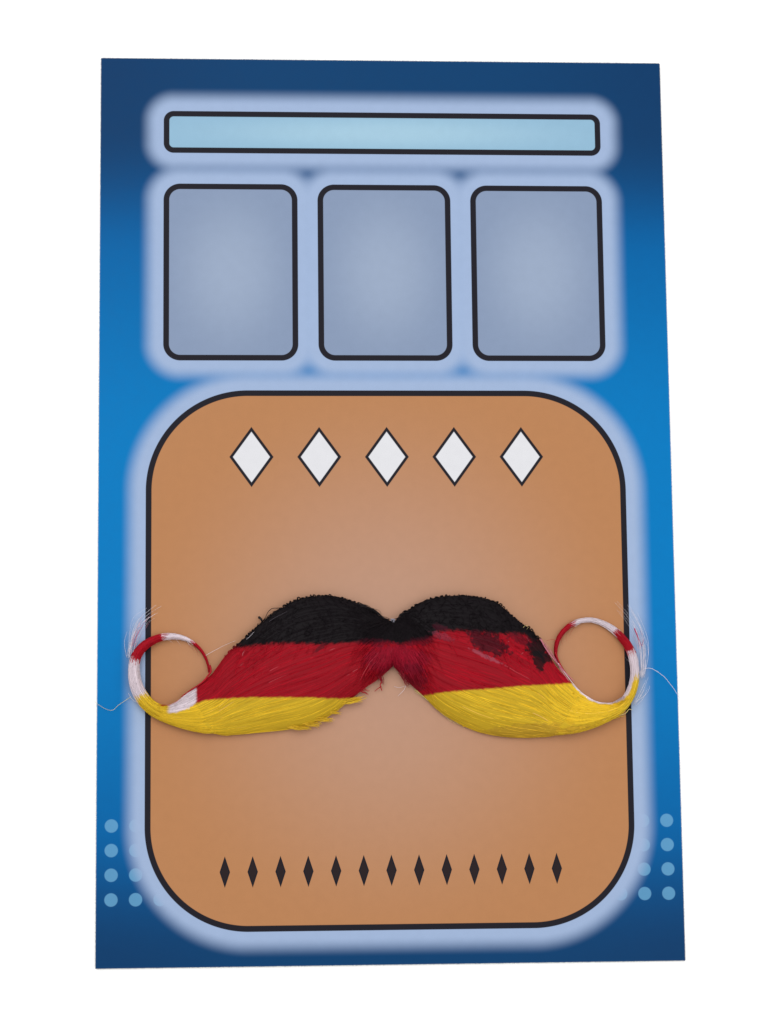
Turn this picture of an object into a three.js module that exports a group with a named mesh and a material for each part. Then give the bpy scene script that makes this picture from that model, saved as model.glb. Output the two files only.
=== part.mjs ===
// A handlebar moustache of dyed hair, stuck on its plain backing card. Millimetres, +Z up. The card lies
// on its back with X across it and Y towards its top edge, and the origin is under its middle. Each side
// of the moustache is built outwards from the parting: u is the distance from the parting, and the left
// side is the mirrored one.
import * as THREE from "three";

const { degToRad, lerp, smoothstep } = THREE.MathUtils;

// Steps in which an outline is followed.
const OUTLINE_STEPS = 30;

// Backing card.
const CARD_WIDTH = 170;
const CARD_HEIGHT = 270;
const CARD_THICKNESS = 0.5;
const CARD_CORNER_RADIUS = 0.8;

// Where the parting lies on the card, and how the two halves keep clear of each other and of what they lie
// on.
const PARTING_X = 1.2;
const PARTING_Y = -43;
const PARTING_GAP = 0.3;
const CONTACT_GAP = 0.3;

// Adhesive strip that holds the net to the card, with the tab that peeps out of the parting.
const STRIP_THICKNESS = 0.25;
const STRIP_TOP_MARGIN = 3.5;
const STRIP_BOTTOM_MARGIN = 7.5;
const STRIP_SPAN_SHARE = 0.62;
const TAB_WIDTH = 1.3;
const TAB_REACH = 0.8;

// Net that the hair is sewn to, and the knotted edging along its upper edge.
const NET_THICKNESS = 1;
const NET_BOTTOM_MARGIN = 4;
const NET_SPAN_SHARE = 0.82;
const EDGING_DIAMETER = 1.1;
const EDGING_WAIST_SHARE = 0.62;
const EDGING_PITCH = 1.3;
const EDGING_START_SHARE = 0.09;
const EDGING_END_SHARE = 0.8;
const EDGING_SIDES = 6;

// Hair wings. Each is a crowned mass of overlapping locks that run from the parting to the wrist of the
// curl, a lock's boundaries wandering a little up and down the wing.
const HUMP_RISE = 14.5;
const HAIR_DEPTH = 6.4;
const HAIR_RIM = 1.2;
const CROWN_LEAN = 1.35;
const CROWN_FULLNESS = 0.62;
const WRIST_FULLNESS = 0.5;
const GATHER_START_SHARE = 0.6;
const LOCK_COUNT = 9;
const LOCK_RELIEF = 0.75;
const LOCK_WANDER_SHARE = 0.022;
const LOCK_WAVE = 5;
const LOCK_PHASE = 2.3;
const LOCK_SHARES = [0, 0.5, 0.94];
const ROLL_WIDTH = 2.4;
const ROLL_WALL = 0.4;
const WING_STEPS = 26;

// Curls. Each is the wing's hair drawn together and wound round into a ring that thins towards its tip.
const CURL_DEPTH = 4.4;
const CURL_BELLY_SHARE = 0.36;
const CURL_FLUTE_SHARE = 0.05;
const CURL_SIDES = 12;
const CURL_STEPS = 40;

// Left side: distance from the parting to the middle of the curl's eye, how far that middle and the belly
// hang below the parting's level, the eye's radius, and the polar angle at which the hair enters the ring.
const LEFT_REACH = 63.8;
const LEFT_EYE_DROP = 7.6;
const LEFT_BELLY_DROP = 26;
const LEFT_CURL_RADIUS = 10;
const LEFT_WRIST_ANGLE = -123;

const RIGHT_REACH = 59;
const RIGHT_EYE_DROP = 5.2;
const RIGHT_BELLY_DROP = 27.4;
const RIGHT_CURL_RADIUS = 11;
const RIGHT_WRIST_ANGLE = -118;

// Heights at which the dye changes on the wings, from the parting's level.
const BLACK_DYE_LINE = 0.8;
const RED_DYE_LINE = -14.6;

const CARD_TOP = CARD_THICKNESS;
const NET_FLOOR = CARD_TOP + STRIP_THICKNESS;
const NET_TOP = NET_FLOOR + NET_THICKNESS;
const HAIR_FLOOR = CARD_TOP + CONTACT_GAP;
const WRIST_FLOOR = HAIR_FLOOR + CONTACT_GAP;

const DYE = {
  black: new THREE.Color(0x1c1518),
  red: new THREE.Color(0xa3141f),
  yellow: new THREE.Color(0xe0b521),
  bare: new THREE.Color(0xe6dcd8),
};

// Wing sections. topAlong and bottomAlong are shares of the wing's span, which ends at the curl's eye. top
// is a share of the hump's rise, bottom a share of the belly's drop, and depth a share of the hair's
// depth.
const LEFT_SECTIONS = [
  { topAlong: 0.0, top: 0.49, bottomAlong: 0.0, bottom: 0.25, depth: 0.5 },
  { topAlong: 0.072, top: 0.572, bottomAlong: 0.076, bottom: 0.385, depth: 0.68 },
  { topAlong: 0.18, top: 0.828, bottomAlong: 0.158, bottom: 0.492, depth: 0.85 },
  { topAlong: 0.288, top: 0.972, bottomAlong: 0.24, bottom: 0.627, depth: 0.97 },
  { topAlong: 0.398, top: 1.0, bottomAlong: 0.34, bottom: 0.785, depth: 1.0 },
  { topAlong: 0.505, top: 0.95, bottomAlong: 0.466, bottom: 0.9, depth: 1.0 },
  { topAlong: 0.613, top: 0.745, bottomAlong: 0.585, bottom: 0.946, depth: 0.97 },
  { topAlong: 0.723, top: 0.441, bottomAlong: 0.697, bottom: 0.969, depth: 0.94 },
  { topAlong: 0.831, top: 0.076, bottomAlong: 0.79, bottom: 0.988, depth: 0.9 },
  { topAlong: 0.925, top: -0.248, bottomAlong: 0.862, bottom: 1.0, depth: 0.86 },
  { topAlong: 0.985, top: -0.58, bottomAlong: 0.922, bottom: 0.998, depth: 0.82 },
];

const RIGHT_SECTIONS = [
  { topAlong: 0.0, top: 0.49, bottomAlong: 0.0, bottom: 0.245, depth: 0.5 },
  { topAlong: 0.087, top: 0.703, bottomAlong: 0.083, bottom: 0.398, depth: 0.7 },
  { topAlong: 0.193, top: 0.903, bottomAlong: 0.177, bottom: 0.547, depth: 0.86 },
  { topAlong: 0.31, top: 0.98, bottomAlong: 0.275, bottom: 0.719, depth: 0.97 },
  { topAlong: 0.436, top: 0.993, bottomAlong: 0.394, bottom: 0.847, depth: 1.0 },
  { topAlong: 0.55, top: 0.95, bottomAlong: 0.517, bottom: 0.938, depth: 1.0 },
  { topAlong: 0.655, top: 0.8, bottomAlong: 0.628, bottom: 0.982, depth: 0.98 },
  { topAlong: 0.75, top: 0.52, bottomAlong: 0.718, bottom: 0.996, depth: 0.95 },
  { topAlong: 0.85, top: 0.265, bottomAlong: 0.806, bottom: 1.0, depth: 0.92 },
  { topAlong: 0.937, top: -0.103, bottomAlong: 0.875, bottom: 0.996, depth: 0.88 },
  { topAlong: 1.0, top: -0.49, bottomAlong: 0.93, bottom: 0.989, depth: 0.84 },
];

// Curl sections. turn is how far round the ring from the wrist, in degrees, inner and outer are shares of
// the curl's radius, depth is a share of the curl's depth, and dye is what colours the hair up to the next
// row.
const LEFT_TURNS = [
  { turn: 0, inner: 0.7, outer: 2.13, depth: 1.2, dye: "yellow" },
  { turn: 20, inner: 0.79, outer: 1.72, depth: 1.14, dye: "yellow" },
  { turn: 40, inner: 0.96, outer: 1.5, depth: 1.06, dye: "yellow" },
  { turn: 62, inner: 1.0, outer: 1.41, depth: 1.0, dye: "yellow" },
  { turn: 88, inner: 0.965, outer: 1.36, depth: 0.95, dye: "bare" },
  { turn: 120, inner: 0.98, outer: 1.32, depth: 0.88, dye: "red" },
  { turn: 150, inner: 1.05, outer: 1.335, depth: 0.78, dye: "red" },
  { turn: 180, inner: 1.01, outer: 1.24, depth: 0.62, dye: "bare" },
  { turn: 210, inner: 0.98, outer: 1.15, depth: 0.46, dye: "bare" },
  { turn: 240, inner: 0.985, outer: 1.085, depth: 0.32, dye: "red" },
  { turn: 272, inner: 0.975, outer: 1.05, depth: 0.26, dye: "red" },
  { turn: 303, inner: 0.975, outer: 1.035, depth: 0.2, dye: "red" },
];

const RIGHT_TURNS = [
  { turn: 0, inner: 0.873, outer: 2.2, depth: 1.2, dye: "yellow" },
  { turn: 20, inner: 1.0, outer: 1.845, depth: 1.12, dye: "yellow" },
  { turn: 40, inner: 1.145, outer: 1.627, depth: 1.04, dye: "yellow" },
  { turn: 60, inner: 1.205, outer: 1.52, depth: 0.95, dye: "yellow" },
  { turn: 80, inner: 1.109, outer: 1.373, depth: 0.86, dye: "yellow" },
  { turn: 105, inner: 0.982, outer: 1.218, depth: 0.76, dye: "bare" },
  { turn: 130, inner: 0.909, outer: 1.145, depth: 0.66, dye: "red" },
  { turn: 160, inner: 0.882, outer: 1.09, depth: 0.56, dye: "bare" },
  { turn: 190, inner: 0.964, outer: 1.118, depth: 0.46, dye: "bare" },
  { turn: 215, inner: 1.08, outer: 1.195, depth: 0.4, dye: "bare" },
  { turn: 245, inner: 1.1, outer: 1.225, depth: 0.42, dye: "red" },
  { turn: 268, inner: 1.07, outer: 1.18, depth: 0.36, dye: "red" },
  { turn: 290, inner: 0.99, outer: 1.065, depth: 0.24, dye: "red" },
  { turn: 308, inner: 0.87, outer: 0.93, depth: 0.2, dye: "red" },
];

const LEFT = {
  name: "left",
  mirror: -1,
  reach: LEFT_REACH,
  eyeDrop: LEFT_EYE_DROP,
  bellyDrop: LEFT_BELLY_DROP,
  curlRadius: LEFT_CURL_RADIUS,
  wristAngle: LEFT_WRIST_ANGLE,
  sections: LEFT_SECTIONS,
  turns: LEFT_TURNS,
};

const RIGHT = {
  name: "right",
  mirror: 1,
  reach: RIGHT_REACH,
  eyeDrop: RIGHT_EYE_DROP,
  bellyDrop: RIGHT_BELLY_DROP,
  curlRadius: RIGHT_CURL_RADIUS,
  wristAngle: RIGHT_WRIST_ANGLE,
  sections: RIGHT_SECTIONS,
  turns: RIGHT_TURNS,
};

const SIDES = [LEFT, RIGHT];

// A smooth run through one column of a table: at(t) goes from the first row at 0 to the last at 1.
function columnRun(rows, column) {
  const curve = new THREE.SplineCurve(rows.map((row, i) => new THREE.Vector2(i, row[column])));
  return (t) => curve.getPoint(t).y;
}

// A closed solid through rings of points that all have the same number of corners. Each ring also has its
// flat shape, clockwise in distance across the path and height, which the two ends are capped with.
function loft(rings, colourOf) {
  const corners = rings[0].points.length;
  const positions = rings.flatMap((ring) => ring.points.flatMap((p) => [p.x, p.y, p.z]));
  const index = [];
  for (let i = 0; i < rings.length - 1; i++) {
    for (let j = 0; j < corners; j++) {
      const here = i * corners + j;
      const beside = i * corners + ((j + 1) % corners);
      index.push(here, beside, here + corners, beside, beside + corners, here + corners);
    }
  }
  const last = (rings.length - 1) * corners;
  for (const [a, b, c] of THREE.ShapeUtils.triangulateShape(rings[0].flat, [])) index.push(a, b, c);
  for (const [a, b, c] of THREE.ShapeUtils.triangulateShape(rings.at(-1).flat, [])) {
    index.push(last + a, last + c, last + b);
  }
  const geometry = new THREE.BufferGeometry();
  geometry.setAttribute("position", new THREE.Float32BufferAttribute(positions, 3));
  if (colourOf) {
    const colours = rings.flatMap((ring) => ring.points.flatMap((p) => colourOf(p, ring).toArray()));
    geometry.setAttribute("color", new THREE.Float32BufferAttribute(colours, 3));
  }
  geometry.setIndex(index);
  geometry.computeVertexNormals();
  return geometry;
}

// The curl's section at t along its turns: the two ends of its rib, and its depth.
function curlRib(side) {
  const turnAt = columnRun(side.turns, "turn");
  const innerAt = columnRun(side.turns, "inner");
  const outerAt = columnRun(side.turns, "outer");
  const depthAt = columnRun(side.turns, "depth");
  const eye = new THREE.Vector2(side.reach, -side.eyeDrop);
  return (t) => {
    const angle = degToRad(side.wristAngle + turnAt(t));
    const ray = new THREE.Vector2(Math.cos(angle), Math.sin(angle));
    return {
      turn: turnAt(t),
      inner: ray.clone().multiplyScalar(innerAt(t) * side.curlRadius).add(eye),
      outer: ray.clone().multiplyScalar(outerAt(t) * side.curlRadius).add(eye),
      depth: depthAt(t) * CURL_DEPTH,
    };
  };
}

// The wing's upper and lower outline and its depth, from the parting to just short of the curl's first
// section.
function wingEdges(side) {
  const start = PARTING_GAP / 2;
  const span = side.reach - side.curlRadius - start;
  const tops = side.sections.map((s) => new THREE.Vector2(start + s.topAlong * span, s.top * HUMP_RISE));
  const bottoms = side.sections.map(
    (s) => new THREE.Vector2(start + s.bottomAlong * span, -s.bottom * side.bellyDrop),
  );
  const wrist = curlRib(side)(0);
  const rib = wrist.outer.clone().sub(wrist.inner).normalize();
  const back = new THREE.Vector2(rib.y, -rib.x).multiplyScalar(CONTACT_GAP);
  tops.push(wrist.inner.clone().add(back));
  bottoms.push(wrist.outer.clone().add(back));
  const wristDepth = { depth: wrist.depth / HAIR_DEPTH };
  return {
    top: new THREE.SplineCurve(tops),
    bottom: new THREE.SplineCurve(bottoms),
    depthAt: columnRun([...side.sections, wristDepth], "depth"),
  };
}

// A point of an outline moved into the moustache by a distance square to the outline.
function inset(curve, t, distance, inwards) {
  const tangent = curve.getTangent(t);
  const normal = new THREE.Vector2(tangent.y, -tangent.x).multiplyScalar(inwards * distance);
  return curve.getPoint(t).add(normal);
}

const intoFromTop = (edges, t, distance) => inset(edges.top, t, distance, 1);
const intoFromBottom = (edges, t, distance) => inset(edges.bottom, t, distance, -1);

// The top of a wing across its width, as shares of the width. Each lock starts low, under the one before
// it, and rises to its own lower edge.
function lockProfile(t, relief) {
  const boundary = (k) => {
    const atRim = k === 0 || k === LOCK_COUNT;
    const wander = LOCK_WANDER_SHARE * Math.sin(LOCK_WAVE * t + LOCK_PHASE * k);
    return k / LOCK_COUNT + (atRim ? 0 : wander);
  };
  const profile = [];
  for (let k = 0; k < LOCK_COUNT; k++) {
    for (const share of LOCK_SHARES) {
      profile.push({ v: lerp(boundary(k), boundary(k + 1), share), lift: relief * (share - 0.5) });
    }
  }
  profile.push({ v: 1, lift: 0 });
  return profile;
}

// A wing of hair: ribs from its upper to its lower outline, crowned, with locks that overlap like
// shingles. Its lower edge rolls over the net's edge towards the card. Past the net the hair gathers into
// the curl's round section and comes down to the card too.
function hairWing(side) {
  const edges = wingEdges(side);
  const hairMargin = EDGING_DIAMETER + CONTACT_GAP;
  const rings = [];
  for (let i = 0; i <= WING_STEPS; i++) {
    const t = i / WING_STEPS;
    const gathered = smoothstep(t, GATHER_START_SHARE, 1);
    const pastEdging = smoothstep(t, EDGING_END_SHARE, 1);
    const a = intoFromTop(edges, t, hairMargin * (1 - pastEdging));
    const b = edges.bottom.getPoint(t);
    const width = a.distanceTo(b);
    const depth = edges.depthAt(t) * HAIR_DEPTH;
    const seat = t < NET_SPAN_SHARE + 1 / WING_STEPS ? NET_TOP : WRIST_FLOOR;
    const lean = lerp(CROWN_LEAN, 1, gathered);
    const fullness = lerp(CROWN_FULLNESS, WRIST_FULLNESS, gathered);
    const flat = lockProfile(t, LOCK_RELIEF * (1 - pastEdging)).map(({ v, lift }) => {
      const crown = v < 1 ? Math.sin(Math.PI * v ** lean) ** fullness : 0;
      const rolled = smoothstep(v * width, width - 2 * ROLL_WIDTH, width);
      const floor = lerp(NET_TOP, HAIR_FLOOR, Math.max(rolled, gathered));
      return new THREE.Vector2(v * width, floor + HAIR_RIM + (depth - HAIR_RIM + lift) * crown);
    });
    flat.push(new THREE.Vector2(width, HAIR_FLOOR));
    flat.push(new THREE.Vector2(width - ROLL_WIDTH, HAIR_FLOOR));
    flat.push(new THREE.Vector2(width - ROLL_WIDTH - ROLL_WALL, seat));
    flat.push(new THREE.Vector2(0, seat));
    const onRib = (p) => {
      const at = a.clone().lerp(b, p.x / width);
      return new THREE.Vector3(at.x, at.y, p.y);
    };
    rings.push({ flat, points: flat.map(onRib) });
  }
  return loft(rings, (p) => (p.y > BLACK_DYE_LINE ? DYE.black : p.y > RED_DYE_LINE ? DYE.red : DYE.yellow));
}

// A curl: fluted round sections that follow the ring from the wrist to the thin tip.
function hairCurl(side) {
  const ribAt = curlRib(side);
  const rings = [];
  for (let i = 0; i <= CURL_STEPS; i++) {
    const { turn, inner, outer, depth } = ribAt(i / CURL_STEPS);
    const half = inner.distanceTo(outer) / 2;
    const middle = inner.clone().lerp(outer, 0.5);
    const across = outer.clone().sub(inner).normalize();
    const belly = CURL_BELLY_SHARE * depth;
    const flat = [];
    for (let j = 0; j < CURL_SIDES; j++) {
      const angle = (2 * Math.PI * j) / CURL_SIDES;
      const flute = 1 - (j % 2) * CURL_FLUTE_SHARE;
      const rise = Math.sin(angle) * (Math.sin(angle) > 0 ? depth - belly : belly);
      flat.push(new THREE.Vector2(-half * flute * Math.cos(angle), HAIR_FLOOR + belly + rise));
    }
    const onRib = (p) => new THREE.Vector3(middle.x + across.x * p.x, middle.y + across.y * p.x, p.y);
    rings.push({ turn, flat, points: flat.map(onRib) });
  }
  return loft(rings, (p, ring) => DYE[side.turns.findLast((row) => row.turn <= ring.turn).dye]);
}

// The knotted edging: a cord that swells into a knot at each pitch, on the net's upper margin.
function knottedEdging(side) {
  const edges = wingEdges(side);
  const path = Array.from({ length: OUTLINE_STEPS + 1 }, (_, i) => {
    const t = lerp(EDGING_START_SHARE, EDGING_END_SHARE, i / OUTLINE_STEPS);
    return intoFromTop(edges, t, EDGING_DIAMETER / 2);
  });
  const run = new THREE.SplineCurve(path);
  const height = NET_TOP + CONTACT_GAP + EDGING_DIAMETER / 2;
  const knots = Math.round(run.getLength() / EDGING_PITCH);
  const rings = [];
  for (let i = 0; i <= 2 * knots; i++) {
    const at = run.getPointAt(i / (2 * knots));
    const tangent = run.getTangentAt(i / (2 * knots));
    const radius = (EDGING_DIAMETER / 2) * (i % 2 ? 1 : EDGING_WAIST_SHARE);
    const flat = [];
    for (let j = 0; j < EDGING_SIDES; j++) {
      const angle = (2 * Math.PI * j) / EDGING_SIDES;
      flat.push(new THREE.Vector2(-radius * Math.cos(angle), radius * Math.sin(angle)));
    }
    const across = (p) => new THREE.Vector3(at.x + tangent.y * p.x, at.y - tangent.x * p.x, height + p.y);
    rings.push({ flat, points: flat.map(across) });
  }
  return loft(rings);
}

// A flat plate under both wings, kept inside their outline by a margin at the top and at the bottom, and
// reaching a share of the way to the curls. Points of the tab, if any, come first.
function plateUnderWings(topMargin, bottomMargin, reach, thickness, tab = []) {
  const chain = (side, from, to, edge) =>
    Array.from({ length: OUTLINE_STEPS + 1 }, (_, i) => {
      const p = edge(wingEdges(side), lerp(from, to, i / OUTLINE_STEPS));
      return new THREE.Vector2(side.mirror * p.x, p.y);
    });
  const top = (edges, t) => intoFromTop(edges, t, topMargin);
  const bottom = (edges, t) => intoFromBottom(edges, t, bottomMargin);
  const outline = [
    ...tab,
    ...chain(RIGHT, 0, reach, top),
    ...chain(RIGHT, reach, 0, bottom),
    ...chain(LEFT, 0, reach, bottom),
    ...chain(LEFT, reach, 0, top),
  ];
  return new THREE.ExtrudeGeometry(new THREE.Shape(outline), { depth: thickness, bevelEnabled: false });
}

function netBase() {
  return plateUnderWings(EDGING_DIAMETER / 2, NET_BOTTOM_MARGIN, NET_SPAN_SHARE, NET_THICKNESS);
}

function adhesiveStrip() {
  const tabTop = LEFT_SECTIONS[0].top * HUMP_RISE + TAB_REACH;
  const stripTop = LEFT_SECTIONS[0].top * HUMP_RISE - STRIP_TOP_MARGIN;
  const tab = [
    new THREE.Vector2(-TAB_WIDTH / 2, stripTop),
    new THREE.Vector2(-TAB_WIDTH / 2, tabTop),
    new THREE.Vector2(TAB_WIDTH / 2, tabTop),
    new THREE.Vector2(TAB_WIDTH / 2, stripTop),
  ];
  return plateUnderWings(STRIP_TOP_MARGIN, STRIP_BOTTOM_MARGIN, STRIP_SPAN_SHARE, STRIP_THICKNESS, tab);
}

function backingCard() {
  const x = CARD_WIDTH / 2 - CARD_CORNER_RADIUS;
  const y = CARD_HEIGHT / 2 - CARD_CORNER_RADIUS;
  const outline = new THREE.Shape();
  outline.absarc(x, y, CARD_CORNER_RADIUS, 0, Math.PI / 2);
  outline.absarc(-x, y, CARD_CORNER_RADIUS, Math.PI / 2, Math.PI);
  outline.absarc(-x, -y, CARD_CORNER_RADIUS, Math.PI, 1.5 * Math.PI);
  outline.absarc(x, -y, CARD_CORNER_RADIUS, 1.5 * Math.PI, 2 * Math.PI);
  return new THREE.ExtrudeGeometry(outline, { depth: CARD_THICKNESS, bevelEnabled: false, curveSegments: 4 });
}

function named(name, geometry, finish) {
  const mesh = new THREE.Mesh(geometry, new THREE.MeshStandardMaterial(finish));
  mesh.name = name;
  return mesh;
}

function moustacheSide(side) {
  const group = new THREE.Group();
  const hair = { vertexColors: true, roughness: 0.6, metalness: 0 };
  const thread = { color: DYE.black, roughness: 0.8, metalness: 0 };
  group.add(named(side.name + "_wing", hairWing(side), hair));
  group.add(named(side.name + "_curl", hairCurl(side), hair));
  group.add(named(side.name + "_edging", knottedEdging(side), thread));
  group.scale.x = side.mirror;
  return group;
}

function moustache() {
  const group = new THREE.Group();
  const strip = named("adhesive_strip", adhesiveStrip(), { color: 0xdfe3ea, roughness: 0.3, metalness: 0 });
  strip.position.z = CARD_TOP;
  const net = named("net_base", netBase(), { color: 0x2a2225, roughness: 0.9, metalness: 0 });
  net.position.z = NET_FLOOR;
  group.add(strip, net, ...SIDES.map(moustacheSide));
  group.position.set(PARTING_X, PARTING_Y, 0);
  return group;
}

const part = new THREE.Group();
part.add(named("card", backingCard(), { color: 0x0a78c0, roughness: 0.45, metalness: 0 }));
part.add(moustache());

export default part;
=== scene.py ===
"""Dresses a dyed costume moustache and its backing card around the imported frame.

Lengths are written in millimetres and become metres where a mesh is made. Each half of the moustache is
worked out from the parting outwards, as in the solids: along runs from the parting (0) to the wrist (1), and
across from the upper edge (0) to the lower edge (1).
"""
import logging
import math
from dataclasses import dataclass, fields
from enum import Enum
from typing import Any, Sequence

import bpy
import numpy as np
from mathutils import Matrix, Vector


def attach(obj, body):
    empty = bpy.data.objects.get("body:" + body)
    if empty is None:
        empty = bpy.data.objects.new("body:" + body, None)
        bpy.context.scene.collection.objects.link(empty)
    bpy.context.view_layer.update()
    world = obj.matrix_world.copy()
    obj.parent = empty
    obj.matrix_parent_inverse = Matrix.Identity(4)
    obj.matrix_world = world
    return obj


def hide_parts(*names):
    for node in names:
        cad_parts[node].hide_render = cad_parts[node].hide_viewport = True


log = logging.getLogger("moustache")

Socket = bpy.types.NodeSocket
Piece = bpy.types.Object
Spot = tuple[float, float]
Place = tuple[float, float, float]
Colour = tuple[float, float, float, float]

MM = 0.001
BODY = "root"

PARTING = (1.2, -43.0)
PARTING_GAP = 0.3
CONTACT_GAP = 0.3
CARD_HALF = (85.0, 135.0)
CARD_TOP = 0.5
NET_TOP = 1.75
HAIR_FLOOR = CARD_TOP + CONTACT_GAP
WRIST_FLOOR = HAIR_FLOOR + CONTACT_GAP
NET_SPAN_SHARE = 0.86
EDGING_DIAMETER = 1.1
EDGING_SPAN = (0.06, 0.8)
TOP_MARGIN = 0.3
BOTTOM_MARGIN = 0.35
HUMP_RISE = 14.5
HAIR_DEPTH = 6.4
HAIR_RIM = 1.2
ROLL_WIDTH = 2.4
ROLL_WALL = 0.4
CURL_DEPTH = 4.4
CURL_BELLY_SHARE = 0.36
LOCK_COUNT = 9
LOCK_RELIEF = 0.3
SHEET_WRAP = 0.05
FLOW = "flow"
TONE = "tone"
DYE = "dye"
THICKNESS = "thickness"


def srgb(red: int, green: int, blue: int) -> Colour:
    """Turns a colour of 0 to 255 into Blender's linear one.

    Args:
        red: Red, 0 to 255.
        green: Green, 0 to 255.
        blue: Blue, 0 to 255.

    Returns:
        Linear red, green, blue and an alpha of 1.
    """
    def linear(value: int) -> float:
        """Turns one channel linear."""
        share = value / 255
        return share / 12.92 if share <= 0.04045 else ((share + 0.055) / 1.055) ** 2.4

    return (linear(red), linear(green), linear(blue), 1.0)


BLACK_DYE = srgb(20, 13, 18)
RED_DYE = srgb(178, 8, 32)
MAROON_DYE = srgb(116, 10, 36)
YELLOW_DYE = srgb(240, 198, 46)
BARE_HAIR = srgb(234, 218, 226)
PALE_HAIR = srgb(214, 160, 168)


def smoothstep(value: np.ndarray, low: float, high: float) -> np.ndarray:
    """Eases from 0 at low to 1 at high."""
    share = np.clip((value - low) / (high - low), 0, 1)
    return share * share * (3 - 2 * share)


def follow(rows: np.ndarray, at: np.ndarray) -> np.ndarray:
    """Follows a smooth run through rows of numbers, as the solids' outlines do.

    Args:
        rows: One row for each point that the run goes through.
        at: Places along the run, from 0 at the first row to 1 at the last.

    Returns:
        One row for each place.
    """
    last = len(rows) - 1
    place = np.clip(at, 0, 1) * last
    i = np.minimum(place.astype(int), last)
    w = (place - i)[..., None]
    before, here = rows[np.maximum(i - 1, 0)], rows[i]
    after, beyond = rows[np.minimum(i + 1, last)], rows[np.minimum(i + 2, last)]
    enter, leave = (after - before) / 2, (beyond - here) / 2
    cubic = 2 * here - 2 * after + enter + leave
    square = 3 * after - 3 * here - 2 * enter - leave
    return ((cubic * w + square) * w + enter) * w + here


@dataclass(frozen=True)
class Rib:
    """One section of a wing.

    Places are shares of the wing's span, and heights are shares of the hump's rise and of the belly's drop.
    """

    top_along: float
    top: float
    bottom_along: float
    bottom: float
    depth: float


@dataclass(frozen=True)
class Turn:
    """One section of a curl: degrees round from the wrist, radii and depth as shares of the curl's own."""

    turn: float
    inner: float
    outer: float
    depth: float


@dataclass(frozen=True)
class Ink:
    """A stretch of dye on a curl, up to a number of degrees round from the wrist."""

    upto: float
    colour: Colour


@dataclass(frozen=True)
class Sliver:
    """Undyed hair along a curl's inside.

    It begins a number of millimetres out from the eye's middle and ends at a number of degrees round from the
    wrist. Its edge says how far from the eye's middle it reaches, in degrees and millimetres.
    """

    begins: float
    ends: float
    edge: tuple[Spot, ...]


@dataclass(frozen=True)
class ColourPatch:
    """A patch of colour over the bands, mostly stray dye and in one place painted shade: middle and half
    sizes in millimetres from the parting, tilt in degrees.
    """

    middle: Spot
    half: Spot
    tilt: float
    colour: Colour
    strength: float
    ragged: float = 0.6


LEFT_RIBS = (
    Rib(0.0, 0.49, 0.0, 0.25, 0.5),
    Rib(0.072, 0.572, 0.076, 0.385, 0.68),
    Rib(0.18, 0.828, 0.158, 0.492, 0.85),
    Rib(0.288, 0.972, 0.24, 0.627, 0.97),
    Rib(0.398, 1.0, 0.34, 0.785, 1.0),
    Rib(0.505, 0.95, 0.466, 0.9, 1.0),
    Rib(0.613, 0.745, 0.585, 0.946, 0.97),
    Rib(0.723, 0.441, 0.697, 0.969, 0.94),
    Rib(0.831, 0.076, 0.79, 0.988, 0.9),
    Rib(0.925, -0.248, 0.862, 1.0, 0.86),
    Rib(0.985, -0.58, 0.922, 0.998, 0.82),
)
RIGHT_RIBS = (
    Rib(0.0, 0.49, 0.0, 0.245, 0.5),
    Rib(0.087, 0.703, 0.083, 0.398, 0.7),
    Rib(0.193, 0.903, 0.177, 0.547, 0.86),
    Rib(0.31, 0.98, 0.275, 0.719, 0.97),
    Rib(0.436, 0.993, 0.394, 0.847, 1.0),
    Rib(0.55, 0.95, 0.517, 0.938, 1.0),
    Rib(0.655, 0.8, 0.628, 0.982, 0.98),
    Rib(0.75, 0.52, 0.718, 0.996, 0.95),
    Rib(0.85, 0.265, 0.806, 1.0, 0.92),
    Rib(0.937, -0.103, 0.875, 0.996, 0.88),
    Rib(1.0, -0.49, 0.93, 0.989, 0.84),
)
LEFT_TURNS = (
    Turn(0, 0.7, 2.13, 1.2),
    Turn(20, 0.79, 1.72, 1.14),
    Turn(40, 0.96, 1.5, 1.06),
    Turn(62, 1.0, 1.41, 1.0),
    Turn(88, 0.965, 1.36, 0.95),
    Turn(120, 0.98, 1.32, 0.88),
    Turn(150, 1.05, 1.335, 0.78),
    Turn(180, 1.01, 1.24, 0.62),
    Turn(210, 0.98, 1.15, 0.46),
    Turn(240, 0.985, 1.085, 0.32),
    Turn(272, 0.975, 1.05, 0.26),
    Turn(303, 0.975, 1.035, 0.2),
)
RIGHT_TURNS = (
    Turn(0, 0.873, 2.2, 1.2),
    Turn(20, 1.0, 1.845, 1.12),
    Turn(40, 1.145, 1.627, 1.04),
    Turn(60, 1.205, 1.52, 0.95),
    Turn(80, 1.109, 1.373, 0.86),
    Turn(105, 0.982, 1.218, 0.76),
    Turn(130, 0.909, 1.145, 0.66),
    Turn(160, 0.882, 1.09, 0.56),
    Turn(190, 0.964, 1.118, 0.46),
    Turn(215, 1.08, 1.195, 0.4),
    Turn(245, 1.1, 1.225, 0.42),
    Turn(268, 1.07, 1.18, 0.36),
    Turn(290, 0.99, 1.065, 0.24),
    Turn(308, 0.87, 0.93, 0.2),
)


def table(rows: Sequence[Any]) -> np.ndarray:
    """Turns rows of a dataclass into an array with a column for each field."""
    return np.array([[getattr(row, f.name) for f in fields(row)] for row in rows], float)


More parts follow.
